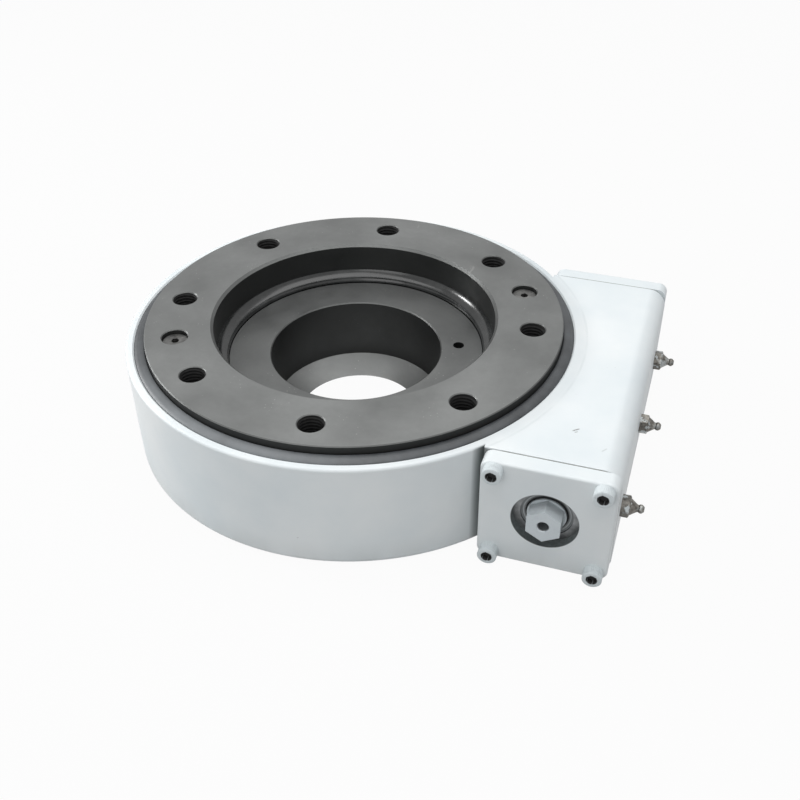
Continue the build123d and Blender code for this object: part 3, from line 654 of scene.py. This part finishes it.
def skin(shape: BMesh, loops: Sequence[list[BMVert]]) -> None:
    """Join loops of as many points, each to the next, by bands of faces."""
    for one, two in zip(loops, loops[1:]):
        for step in range(len(one)):
            after = (step + 1) % len(one)
            corners = list(dict.fromkeys((one[step], one[after], two[after], two[step])))
            if len(corners) > 2:
                shape.faces.new(corners)


def lathe(name: str, outline: Sequence[Point], facets: int = FACETS) -> Object:
    """Turn a closed outline about the z axis.

    Args:
        name: the object's name.
        outline: (radius, height) points in order.
        facets: steps round the axis.

    Returns:
        A closed mesh.
    """
    shape = bmesh.new()
    loops = [hoop(shape, [radius] * facets, height) for radius, height in outline]
    skin(shape, loops + loops[:1])
    return to_object(name, shape)


def loft(name: str, levels: Sequence[tuple[Sequence[Point], float]]) -> Object:
    """Join closed outlines in x and y, each with as many points, at rising heights.

    Args:
        name: the object's name.
        levels: (outline, height) pairs.

    Returns:
        A closed mesh.
    """
    shape = bmesh.new()
    loops = [[shape.verts.new((u * MM, v * MM, z * MM)) for u, v in outline] for outline, z in levels]
    shape.faces.new(loops[0])
    shape.faces.new(loops[-1])
    skin(shape, loops)
    return to_object(name, shape)


def prism(name: str, outline: Sequence[Point], low: float, high: float) -> Object:
    """Extrude a closed outline in x and y between two heights."""
    return loft(name, [(outline, low), (outline, high)])


def shift(x: float, y: float, z: float) -> Matrix:
    """A move in millimetres."""
    return Matrix.Translation(Vector((x, y, z)) * MM)


def turned(degrees: float, axis: str) -> Matrix:
    """A turn about an axis through the origin."""
    return Matrix.Rotation(math.radians(degrees), 4, axis)


def settle(made: Object, place: Matrix) -> Object:
    """Move an object's mesh to its place and leave the object at the origin."""
    made.data.transform(place)
    made.data.update()
    return made


def drill(radius: float, length: float, middle: tuple, about: str, facets: int = DRILL_FACETS) -> Object:
    """A cutting cylinder round a middle point, turned from upright about the axis X or Y."""
    made = prism("drill", disc(radius, facets), -length / 2, length / 2)
    return settle(made, shift(*middle) @ turned(90, about))


def apply_modifiers(made: Object) -> Object:
    """Turn an object's evaluated mesh into its plain mesh and drop its modifiers."""
    graph = bpy.context.evaluated_depsgraph_get()
    result = bpy.data.meshes.new_from_object(made.evaluated_get(graph))
    made.modifiers.clear()
    stale = made.data
    made.data = result
    bpy.data.meshes.remove(stale)
    return made


def combine(made: Object, tools: Iterable[Object], operation: str) -> Object:
    """Join or cut closed meshes.

    Args:
        made: the mesh that stays.
        tools: the meshes that are used up.
        operation: UNION, INTERSECT or DIFFERENCE.

    Returns:
        The first mesh, changed.
    """
    for tool in tools:
        step = made.modifiers.new("shape", "BOOLEAN")
        step.operation = operation
        step.solver = "EXACT"
        step.object = tool
        apply_modifiers(made)
        bpy.data.objects.remove(tool)
    return made


def merged(name: str, pieces: Sequence[Object]) -> Object:
    """Put separate closed meshes into one object."""
    shape = bmesh.new()
    for piece in pieces:
        shape.from_mesh(piece.data)
        bpy.data.objects.remove(piece)
    return to_object(name, shape, clean=False)


def finished(made: Object, finish: Material | None, angle: float) -> Object:
    """Give a mesh its material and shade it smooth between its edges.

    Args:
        made: the mesh.
        finish: its material, or None where it has one.
        angle: edges sharper than this stay edges, in degrees.

    Returns:
        The same object.
    """
    if finish:
        made.data.materials.clear()
        made.data.materials.append(finish)
    for polygon in made.data.polygons:
        polygon.use_smooth = True
    made.data.set_sharp_from_angle(angle=math.radians(angle))
    weight = made.modifiers.new("shade", "WEIGHTED_NORMAL")
    weight.keep_sharp = True
    return apply_modifiers(made)


# ---------------- patterns by Geometry Nodes
class Layout(Enum):
    """How the copies of a pattern are set out."""

    RING = "ring"
    GRID = "grid"


@dataclass
class Pattern:
    """Copies of one template mesh, set out by a Geometry Nodes tree and baked to one mesh.

    A ring has its radius as reach and its first copy at start. A grid has its side as reach, and
    each copy is turned by start. Reach is in metres and start in radians.
    """

    layout: Layout
    count: int
    reach: float
    start: float = 0.0

    def tree(self) -> GeometryNodeTree:
        """Build the tree.

        Returns:
            A tree with inputs Count, Reach, Start and Finish.
        """
        tree = bpy.data.node_groups.new(f"pattern_{self.layout.value}", "GeometryNodeTree")
        kinds = {"Geometry": "Geometry", "Count": "Int", "Reach": "Float", "Start": "Float"}
        for name, kind in (kinds | {"Finish": "Material"}).items():
            tree.interface.new_socket(name, in_out="INPUT", socket_type=f"NodeSocket{kind}")
        tree.interface.new_socket("Geometry", in_out="OUTPUT", socket_type="NodeSocketGeometry")
        given = put(tree, "NodeGroupInput", {}).outputs
        points, turn = self._points(tree, given)
        inputs = {"Points": points, "Instance": given["Geometry"], "Rotation": turn}
        copies = put(tree, "GeometryNodeInstanceOnPoints", inputs)
        real = put(tree, "GeometryNodeRealizeInstances", {"Geometry": copies.outputs["Instances"]})
        inputs = {"Geometry": real.outputs["Geometry"], "Material": given["Finish"]}
        dressed = put(tree, "GeometryNodeSetMaterial", inputs)
        put(tree, "NodeGroupOutput", {"Geometry": dressed.outputs["Geometry"]})
        return tree

    def _points(self, tree: NodeTree, given: NodeOutputs) -> tuple:
        """Set out the points of the pattern.

        Args:
            tree: the pattern's tree.
            given: the outputs of the group's input node.

        Returns:
            The output that holds the points and the output that turns each copy.
        """
        swing = put(tree, "ShaderNodeCombineXYZ", {"Z": given["Start"]}).outputs[0]
        if self.layout is Layout.GRID:
            sides = {"Size X": given["Reach"], "Size Y": given["Reach"]}
            counts = {"Vertices X": given["Count"], "Vertices Y": given["Count"]}
            return put(tree, "GeometryNodeMeshGrid", sides | counts).outputs["Mesh"], swing
        circle = put(tree, "GeometryNodeMeshCircle", {"Vertices": given["Count"], "Radius": given["Reach"]})
        index = put(tree, "GeometryNodeInputIndex", {}).outputs[0]
        share = put(tree, "ShaderNodeMath", {0: index, 1: given["Count"]}, operation="DIVIDE").outputs[0]
        angle = put(tree, "ShaderNodeMath", {0: share, 1: 2 * math.pi}, operation="MULTIPLY").outputs[0]
        spin = put(tree, "ShaderNodeCombineXYZ", {"Z": angle}).outputs[0]
        whole = put(tree, "GeometryNodeTransform", {"Geometry": circle.outputs["Mesh"], "Rotation": swing})
        total = put(tree, "ShaderNodeVectorMath", {0: spin, 1: swing}, operation="ADD")
        return whole.outputs["Geometry"], total.outputs[0]

    def bake(self, template: Object, finish: Material) -> Object:
        """Replace a template by its pattern.

        Args:
            template: the mesh to copy, which becomes the pattern.
            finish: the material of every copy.

        Returns:
            The template's object with one plain mesh.
        """
        tree = self.tree()
        step = template.modifiers.new("pattern", "NODES")
        step.node_group = tree
        values = {"Count": self.count, "Reach": self.reach, "Start": self.start, "Finish": finish}
        for item in tree.interface.items_tree:
            if item.in_out == "INPUT" and item.name in values:
                step[item.identifier] = values[item.name]
        template.update_tag()
        return apply_modifiers(template)


# ---------------- sub-assemblies, in millimetres
@dataclass
class Casting:
    """The housing: round barrel, worm box and everything cut into them."""

    barrel: float = 129.5
    foot: float = 4.0
    brow: float = 1.6
    floor: float = 9.0
    fillet: float = 2.0
    register: float = 70.0
    cavity: float = 120.6
    seat: float = 124.8
    seat_depth: float = 6.0
    rim: float = 0.8
    box_left: float = 98.7
    box_end: float = 85.997
    end_edge: float = 0.9
    end_bend: float = 0.25
    tunnel: float = 27.5
    long_edge: float = 10.0
    low_edge: float = 5.0
    screw_depth: float = 14.0
    screw_middle: float = 6.0
    nipple_drill: float = 4.0
    nipple_depth: float = 9.04
    hub_circle: float = 82.0
    hub_screws: int = 8
    countersink: tuple = ((0, -0.5), (8.8, -0.5), (8.3, 0), (4.4, 3.9), (4.4, 9.5), (0, 9.5))
    dowel: float = 4.0
    dowel_angle: float = 22.5

    def barrel_mesh(self) -> Object:
        """The round part, already hollow.

        Returns:
            A closed mesh.
        """
        seat_z = HOUSING_TOP - self.seat_depth
        return lathe("housing_look", rounded([
            (self.register, 0, 0), (self.barrel, 0, self.foot), (self.barrel, HOUSING_TOP, self.brow),
            (self.seat + self.rim, HOUSING_TOP, 0), (self.seat, HOUSING_TOP - self.rim, 0),
            (self.seat, seat_z, 0), (self.cavity, seat_z, 0), (self.cavity, self.floor, self.fillet),
            (self.register, self.floor, 0),
        ]))

    def box_mesh(self) -> Object:
        """The worm box with its rounded long edges and broken end edges.

        Returns:
            A closed mesh that lies along y.
        """
        levels = []
        for inset, step in ((self.end_edge, 0.0), (self.end_bend, self.end_bend), (0.0, self.end_edge)):
            side, top = BOX_SIDE - inset, HOUSING_TOP - inset
            outline = rounded([
                (self.box_left, inset, 0), (side, inset, self.low_edge - inset),
                (side, top, self.long_edge - inset), (self.box_left, top, 0),
            ], 8)
            levels.append((outline, step - self.box_end))
        levels += [(outline, -place) for outline, place in reversed(levels)]
        return settle(loft("box", levels), turned(90, "X"))

    def tools(self) -> list[Object]:
        """Everything that is cut away.

        Returns:
            Closed meshes.
        """
        seat_z = HOUSING_TOP - self.seat_depth
        mouth = self.seat + self.rim
        made = [lathe("cavity", (
            (0, self.floor), (self.cavity, self.floor), (self.cavity, seat_z), (self.seat, seat_z),
            (self.seat, HOUSING_TOP - self.rim), (mouth, HOUSING_TOP), (mouth, HOUSING_TOP + PROUD),
            (0, HOUSING_TOP + PROUD),
        ))]
        length = 2 * (self.box_end + PROUD)
        made.append(drill(self.tunnel, length, (WORM_X, 0, WORM_Z), "X", 2 * SMALL_FACETS))
        for side, radius in ((-1, CoverScrews.thread), (1, RearCover.stem)):
            for across, up in SCREW_SPOTS:
                spot = (WORM_X + across, side * (self.box_end - self.screw_middle), WORM_Z + up)
                made.append(drill(radius, self.screw_depth, spot, "X"))
        for place in NIPPLE_PLACES:
            made.append(drill(self.nipple_drill, self.nipple_depth, (BOX_SIDE, place, NIPPLE_Z), "Y"))
        for turn in range(self.hub_screws):
            cutter = lathe("countersink", self.countersink, 32)
            made.append(settle(cutter, self.spot(360 / self.hub_screws * turn, 0)))
        for angle in (self.dowel_angle, self.dowel_angle + 180):
            cutter = prism("dowel_hole", disc(self.dowel, DRILL_FACETS), -5, 5)
            made.append(settle(cutter, self.spot(angle, self.floor / 2)))
        return made

    def spot(self, degrees: float, height: float) -> Matrix:
        """A move to a place on the hub's screw circle."""
        angle = math.radians(degrees)
        return shift(self.hub_circle * math.cos(angle), self.hub_circle * math.sin(angle), height)

    def build(self, finish: Material) -> Object:
        """Make the casting."""
        made = combine(self.barrel_mesh(), [self.box_mesh()], "UNION")
        return finished(combine(made, self.tools(), "DIFFERENCE"), finish, 35)


@dataclass
class TappedHoles:
    """Screw thread in the ring's eight bolt holes, set out by a ring pattern."""

    circle: float = 101.6
    start: float = 7.9
    count: int = 8
    drill: float = 7.0
    top: float = 69.0
    depth: float = 18.4
    pitch: float = 2.0
    crest: float = 0.42
    play: float = 0.02
    wall: float = 0.05
    runout: float = 0.75
    flank: float = 2.6

    def sleeve(self) -> Object:
        """One thread as a closed tube with a helical inner face.

        Returns:
            The tube, about the z axis.
        """
        shape = bmesh.new()
        around, per_turn = 40, 8
        rows = int(self.depth / self.pitch * per_turn)
        inner, outer = [], []
        for row in range(rows + 1):
            height = self.top - self.depth * row / rows
            fade = min(1.0, row / per_turn / self.runout)
            phases = [(row / per_turn + step / around) % 1.0 for step in range(around)]
            ridges = [max(0.0, 1 - abs(phase - 0.5) * self.flank) for phase in phases]
            reaches = [self.drill - self.play - fade * self.crest * ridge for ridge in ridges]
            inner.append(hoop(shape, reaches, height))
            outer.append(hoop(shape, [self.drill + self.wall] * around, height))
        skin(shape, inner + outer[::-1] + inner[:1])
        return to_object("bolt_hole_threads", shape)

    def build(self, finish: Material) -> Object:
        """Make all the threads."""
        pattern = Pattern(Layout.RING, self.count, self.circle * MM, math.radians(self.start))
        return finished(pattern.bake(self.sleeve(), finish), None, 50)


@dataclass
class CoverScrews:
    """The front cover's four socket head screws with knurled heads, set out by a grid pattern."""

    thread: float = 3.0
    head: float = 5.0
    height: float = 6.0
    socket: float = 5.0
    socket_depth: float = 3.0
    stem_length: float = 21.0
    knurls: int = 36
    knurl_depth: float = 0.14
    play: float = 0.02
    tip: float = 0.9
    twist: float = 11.0

    def screw(self) -> Object:
        """One screw with its head up and its seat at the origin.

        Returns:
            A closed mesh.
        """
        shape = bmesh.new()
        facets = self.knurls * 4
        top, deep = self.height, self.height - self.socket_depth
        cuts = [self.knurl_depth * (step % 4 in (0, 1)) for step in range(facets)]
        loops = [
            hoop(shape, [radius - knurled * cut for cut in cuts], height)
            for height, radius, knurled in (
                (0.0, self.head, 0), (0.35, self.head, 1), (top - 0.75, self.head, 1),
                (top - 0.45, self.head, 0), (top - 0.12, self.head - 0.32, 0), (top, self.head - 0.62, 0),
            )
        ]
        sixth = math.pi / 3
        bends = [(2 * math.pi * step / facets + sixth / 2) % sixth - sixth / 2 for step in range(facets)]
        for height, across in ((top, self.socket + 0.5), (top - 0.3, self.socket), (deep, self.socket)):
            loops.append(hoop(shape, [across / 2 / math.cos(bend) for bend in bends], height))
        loops.append(hoop(shape, [0.0] * facets, deep - self.tip))
        skin(shape, loops)
        stem = [hoop(shape, [self.thread - self.play] * facets, z) for z in (0.0, -self.stem_length)]
        skin(shape, [loops[0], *stem])
        shape.faces.new(stem[1])
        return to_object("cover_screws", shape)

    def build(self, finish: Material) -> Object:
        """Make the four screws.

        Args:
            finish: their coat of paint.

        Returns:
            One object with four screws.
        """
        pattern = Pattern(Layout.GRID, 2, SCREW_SPACING * MM, math.radians(self.twist))
        made = pattern.bake(self.screw(), finish)
        made.name = "front_screws_look"
        return finished(settle(made, shift(WORM_X, -COVER_FACE, WORM_Z) @ turned(90, "X")), None, 40)


@dataclass
class RearCover:
    """The blank cover behind the worm, closed by four flush countersunk screws."""

    size: Point = (67.2, 63.2)
    corner: float = 5.0
    edge: float = 0.8
    spigot: Point = (23.37, 27.48)
    spigot_depth: float = 3.0
    head: float = 3.7
    stem: float = 2.0
    stem_length: float = 20.0
    socket: float = 2.5
    socket_depth: float = 1.5
    play: float = 0.1
    chamfer: float = 0.15
    sunk: float = 0.05
    twist: float = 17.0

    def place(self, seat: float) -> Matrix:
        """The turn and move that set a piece on the box's rear end, at a distance from the middle."""
        return shift(WORM_X, seat, WORM_Z) @ turned(-90, "X")

    def cutter(self) -> Object:
        """The cutter of one countersunk hole.

        Returns:
            A closed mesh.
        """
        top = COVER_FACE - COVER_SEAT
        mouth, clear = self.head + self.play, self.stem + 2 * self.play
        outline = (
            (0, -0.5), (clear, -0.5), (clear, top - mouth + clear), (mouth + 0.5, top + 0.5), (0, top + 0.5),
        )
        return lathe("countersink", outline, SMALL_FACETS)

    def plate(self, finish: Material) -> Object:
        """The cover.

        Args:
            finish: its coat of paint.

        Returns:
            A closed mesh.
        """
        top, edge = COVER_FACE - COVER_SEAT, self.edge
        levels = []
        for inset, height in ((0.0, 0.0), (0.0, top - edge), (0.3 * edge, top - 0.3 * edge), (edge, top)):
            across, up = self.size[0] / 2 - inset, self.size[1] / 2 - inset
            corners = ((-across, -up), (across, -up), (across, up), (-across, up))
            levels.append((rounded([(u, v, self.corner - inset) for u, v in corners], 8), height))
        made = loft("rear_cover_look", levels)
        low, high = self.spigot
        deep = -self.spigot_depth
        section = ((low, deep), (high, deep), (high, PROUD), (low, PROUD))
        combine(made, [lathe("spigot", section, 2 * SMALL_FACETS)], "UNION")
        combine(made, [settle(self.cutter(), shift(*spot, 0)) for spot in SCREW_SPOTS], "DIFFERENCE")
        return finished(settle(made, self.place(COVER_SEAT)), finish, 35)

    def screws(self, finish: Material) -> Object:
        """The four screws.

        Args:
            finish: their coat of paint.

        Returns:
            One object with four screws.
        """
        made = lathe("rear_screws_look", (
            (0, 0), (self.head - self.chamfer, 0), (self.head, -self.chamfer),
            (self.stem, self.stem - self.head), (self.stem, -self.stem_length), (0, -self.stem_length),
        ), SMALL_FACETS)
        combine(made, [prism("key", hexagon(self.socket), -self.socket_depth, PROUD)], "DIFFERENCE")
        made = Pattern(Layout.GRID, 2, SCREW_SPACING * MM, math.radians(self.twist)).bake(made, finish)
        return finished(settle(made, self.place(COVER_FACE - self.sunk)), None, 40)


@dataclass
class GreaseNipples:
    """Three hexagon grease nipples, each turned from one outline."""

    across: float = 10.0
    hex_height: float = 4.5
    first_turn: float = 0.3
    turn_step: float = 0.5

    def nipple(self) -> Object:
        """One nipple that points up from the origin.

        Returns:
            A closed mesh with its grease hole.
        """
        top = self.hex_height
        hexed = prism("nipple_hex", hexagon(self.across), 0.0, top)
        limit = ((0, -0.5), (5.78, -0.5), (5.78, 3.9), (4.7, top), (0, top))
        combine(hexed, [lathe("nipple_round", limit, SMALL_FACETS)], "INTERSECT")
        body = rounded([
            (0, -4.4, 0), (3.96, -4.4, 0), (3.96, 4.3, 0), (4.3, 4.6, 0.2), (1.95, 7.9, 2.0),
            (1.85, 8.5, 0.2), (2.3, 9.1, 0.4), (2.3, 10.2, 0.5), (1.25, 11.4, 0.2), (0.92, 11.4, 0.05),
            (0.92, 10.4, 0), (0, 10.4, 0),
        ], 4)
        return combine(hexed, [lathe("nipple_body", body, SMALL_FACETS)], "UNION")

    def build(self, finish: Material) -> Object:
        """Make the three nipples.

        Args:
            finish: their plating.

        Returns:
            One object.
        """
        made = []
        for index, place in enumerate(NIPPLE_PLACES):
            spin = Matrix.Rotation(self.first_turn + self.turn_step * index, 4, "Z")
            made.append(settle(self.nipple(), shift(BOX_SIDE, place, NIPPLE_Z) @ turned(90, "Y") @ spin))
        return finished(merged("grease_nipples_look", made), finish, 35)


@dataclass
class LipSeal:
    """A rubber seal of the ring, turned from its section."""

    name: str
    section: Sequence[Point]
    angle: float

    def build(self, finish: Material) -> Object:
        """The seal as a closed mesh in its rubber."""
        return finished(lathe(self.name, self.section), finish, self.angle)


# Between ring and hub, with a hollow glossy top.
INNER_SEAL = LipSeal("inner_seal_look", (
    (82.28, 48.22), (82.28, 52.18), (79.7, 52.18), *arc((73.2, 55.3), 7.0, -26, -78, 14),
    (73.9, 47.2), (73.9, 46.3), (75.4, 46.1), (77.98, 48.22),
), 40)
# Between ring and housing, with a crowned top and a fine moulded ridge.
OUTER_SEAL = LipSeal("outer_seal_look", (
    (120.62, 58.0), (124.78, 58.0), (124.78, 63.1), (124.3, 63.62), (123.5, 64.12), (122.6, 64.52),
    (122.3, 64.48), (122.0, 64.66), (121.2, 64.84), (120.2, 64.96), (119.3, 65.0), (118.85, 64.82),
    (118.8, 64.4), (118.8, 63.4), (120.62, 61.4),
), 50)


# ---------------- stage
@dataclass
class Stage:
    """Floor, world, lights and camera, in metres."""

    floor_tone: Color = (0.42, 0.42, 0.42)
    sky_tone: Color = (0.95, 0.97, 1.0)
    sky_power: float = 0.33
    aim: tuple = (0.05, 0, 0.03)
    lens: float = 45.998
    eye: tuple = (0.18196, -0.46007, 0.38461)
    forward: tuple = (-0.25413, 0.75263, -0.60742)
    up: tuple = (-0.18066, 0.58005, 0.79430)

    @staticmethod
    def seen_white(tree: ShaderTree, output: str, share: float) -> None:
        """Show white to camera, glossy and transmission rays, and the lit shader to the rest.

        Args:
            tree: the tree, whose shader lights the object.
            output: the name of its output node.
            share: how much of the white those rays get.
        """
        path = put(tree.tree, "ShaderNodeLightPath", {})
        names = ("Is Camera Ray", "Is Glossy Ray", "Is Transmission Ray")
        camera, glossy, through = (Socket(tree, path.outputs[name]) for name in names)
        white = put(tree.tree, "ShaderNodeEmission", {"Strength": 1.0}).outputs[0]
        inputs = {0: (camera + glossy + through).clamp() * share, 1: tree.shader.outputs[0], 2: white}
        mixed = put(tree.tree, "ShaderNodeMixShader", inputs)
        plug(tree.tree, tree.tree.nodes[output].inputs["Surface"], mixed.outputs[0])

    def floor(self) -> None:
        """Make the pale floor, which keeps the object's shadow."""
        bpy.ops.mesh.primitive_plane_add(size=8, location=(0, 0, -0.0002))
        made = bpy.context.object
        made.name = "floor"
        tree = ShaderTree.named("floor")
        made.data.materials.append(tree.surface(Base_Color=self.floor_tone, Roughness=0.9))
        self.seen_white(tree, "Material Output", 0.95)

    def world(self) -> None:
        """Set the even light of the surroundings."""
        tree = ShaderTree(bpy.data.worlds.new("studio"), "Background")
        bpy.context.scene.world = tree.surface(Color=self.sky_tone, Strength=self.sky_power)
        self.seen_white(tree, "World Output", 1.0)

    def lamp(self, name: str, place: tuple, aim: tuple, size: float, power: float) -> None:
        """Add a square soft light.

        Args:
            name: its name.
            place: where it hangs.
            aim: the point it faces.
            size: its side.
            power: its power in watts.
        """
        data = bpy.data.lights.new(name, "AREA")
        data.shape = "SQUARE"
        data.size = size
        data.energy = power
        made = bpy.data.objects.new(name, data)
        made.location = place
        made.rotation_euler = (Vector(aim) - Vector(place)).to_track_quat("-Z", "Y").to_euler()
        bpy.context.scene.collection.objects.link(made)

    def camera(self) -> None:
        """Place the camera."""
        data = bpy.data.cameras.new("camera")
        data.lens = self.lens
        data.sensor_width = 36.0
        data.clip_start = 0.01
        made = bpy.data.objects.new("camera", data)
        back = -Vector(self.forward).normalized()
        across = Vector(self.up).normalized().cross(back).normalized()
        turn = Matrix((across, back.cross(across), back)).transposed().to_4x4()
        made.matrix_world = Matrix.Translation(self.eye) @ turn
        bpy.context.scene.collection.objects.link(made)
        bpy.context.scene.camera = made

    def build(self) -> None:
        """Make the whole stage."""
        bpy.context.scene.view_settings.view_transform = "Standard"
        self.floor()
        self.world()
        self.lamp("key", (0.10, 0.05, 1.2), self.aim, 1.3, 12.6)
        self.lamp("fill", (-0.1, -1.1, 0.6), self.aim, 0.8, 3.4)
        self.lamp("side", (-1.0, -0.02, 0.46), (0.0, 0, 0.05), 0.22, 5.6)
        self.camera()


# ---------------- the whole drive
def metals() -> dict[str, PlainMetal]:
    """The plain finishes, each named by its use.

    Returns:
        The finishes by key.
    """
    rows = (
        ("thread", "thread_oxide", (0.006, 0.006, 0.006), (0.016, 0.016, 0.016), 0.6, 0.2),
        ("dark_steel", "dark_steel", (0.07, 0.07, 0.07), (0.15, 0.15, 0.15), 0.38, 1.0),
        ("plug_steel", "plug_steel", (0.09, 0.09, 0.088), (0.20, 0.20, 0.195), 0.36, 1.0),
        ("bearing", "bearing_steel", (0.42, 0.43, 0.44), (0.60, 0.61, 0.62), 0.12, 1.0),
        ("cage", "cage_steel", (0.30, 0.30, 0.30), (0.45, 0.45, 0.44), 0.32, 1.0),
        ("seal_case", "seal_case_steel", (0.15, 0.155, 0.16), (0.29, 0.30, 0.305), 0.34, 1.0),
        ("gasket", "gasket_sheet", (0.16, 0.17, 0.16), (0.26, 0.27, 0.25), 0.6, 0.0),
        ("nylon", "spacer_nylon", (0.62, 0.60, 0.50), (0.74, 0.72, 0.62), 0.35, 0.0),
    )
    return {key: PlainMetal(*values) for key, *values in rows}


@dataclass
class Drive:
    """The slewing drive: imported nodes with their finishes, and the pieces that replace some."""

    nodes: dict
    finishes: dict = field(default_factory=dict)

    def make_finishes(self) -> None:
        """Build every material."""
        scratches = (
            ((0.1374, -0.0612), (0.1402, -0.0588), 0.95),
            ((0.1385, -0.0622), (0.1398, -0.0611), 0.60),
            ((0.1537, -0.0727), (0.1556, -0.0700), 0.30),
        )
        cover = (0.680, 0.725, 0.740)
        kinds = metals() | {
            # The housing's paint gets painted shade in the corners by the box's ends.
            "paint": CastPaint(nicks=scratches, seam_radius=0.1318, corner=(0.0975, 0.0850)),
            # The front cover's paint gets painted shade inside its bore.
            "cover_paint": CastPaint(name="cover_paint", base=cover, shaded_bore=0.01715),
            "rear_paint": CastPaint(name="rear_cover_paint", base=cover),
            "screw_paint": ScrewPaint(),
            "flat_paint": ScrewPaint(name="flat_screw_paint", socket=0.00150),
            "oxide": TurnedSteel(),
            "hub": TurnedSteel(name="hub_oxide", dark=(0.105, 0.108, 0.107), pale=(0.180, 0.185, 0.182)),
            "rubber": SealRubber(settled=0.8),
            "lip": SealRubber("lip_rubber", (0.012, 0.013, 0.013), (0.040, 0.042, 0.042), gloss=0.10),
            "nipple": SprayedNipple(),
            "seal_face": ShaftSealFace(),
            "shaft": SprayedShaft(),
        }
        for key, kind in kinds.items():
            self.finishes[key] = kind.build()
            LOG.info("finish %s", key)

    def dress(self) -> None:
        """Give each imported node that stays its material."""
        choice = {
            "oxide": ("slewing_ring",),
            "hub": ("hub", "loading_plug"),
            "cover_paint": ("front_cover",),
            "gasket": ("front_gasket", "rear_gasket"),
            "dark_steel": ("loading_plug_pin", "hub_screws"),
            "plug_steel": ("ring_plugs",),
            "bearing": (
                "hub_dowels", "garter_spring", "front_bearing_cup", "rear_bearing_cup", "nipple_balls",
                "raceway_balls", "front_bearing_cone", "rear_bearing_cone", "front_bearing_rollers",
                "rear_bearing_rollers",
            ),
            "cage": ("front_bearing_cage", "rear_bearing_cage"),
            "seal_face": ("shaft_seal_lip",),
            "seal_case": ("shaft_seal_case",),
            "nylon": ("ball_spacers",),
            "shaft": ("worm_shaft",),
        }
        for finish, names in choice.items():
            for name in names:
                materials = self.nodes[name].data.materials
                for index in range(len(materials)):
                    materials[index] = self.finishes[finish]
                LOG.info("node %s wears %s", name, finish)

    def add(self, piece: Object, body: str, slot: str, *replaced: str) -> None:
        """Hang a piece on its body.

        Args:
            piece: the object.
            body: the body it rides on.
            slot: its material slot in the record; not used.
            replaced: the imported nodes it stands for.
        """
        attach(piece, body)
        if replaced:
            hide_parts(*replaced)
        LOG.info("piece %s: %d faces", piece.name, len(piece.data.polygons))

    def build(self) -> None:
        """Make every piece in order."""
        self.make_finishes()
        self.dress()
        coat = self.finishes
        self.add(Casting().build(coat["paint"]), "housing", "housing_paint", "housing")
        self.add(TappedHoles().build(coat["thread"]), "ring", "ring_black_oxide")
        screws = CoverScrews().build(coat["screw_paint"])
        self.add(screws, "housing", "painted_screws", "front_cover_screws")
        rear = RearCover()
        self.add(rear.plate(coat["rear_paint"]), "housing", "housing_paint", "rear_cover")
        self.add(rear.screws(coat["flat_paint"]), "housing", "painted_screws", "rear_cover_screws")
        self.add(GreaseNipples().build(coat["nipple"]), "housing", "nipple_plate", "grease_nipples")
        self.add(INNER_SEAL.build(coat["lip"]), "ring", "seal_rubber", "inner_seal")
        self.add(OUTER_SEAL.build(coat["rubber"]), "housing", "seal_rubber", "outer_seal")


def main() -> None:
    """Build the drive and its stage."""
    logging.basicConfig(level=logging.INFO, format="%(message)s")
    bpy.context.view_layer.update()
    Drive(frame["nodes"]).build()
    Stage().build()
    bpy.context.view_layer.update()


if __name__ == "__main__":
    main()
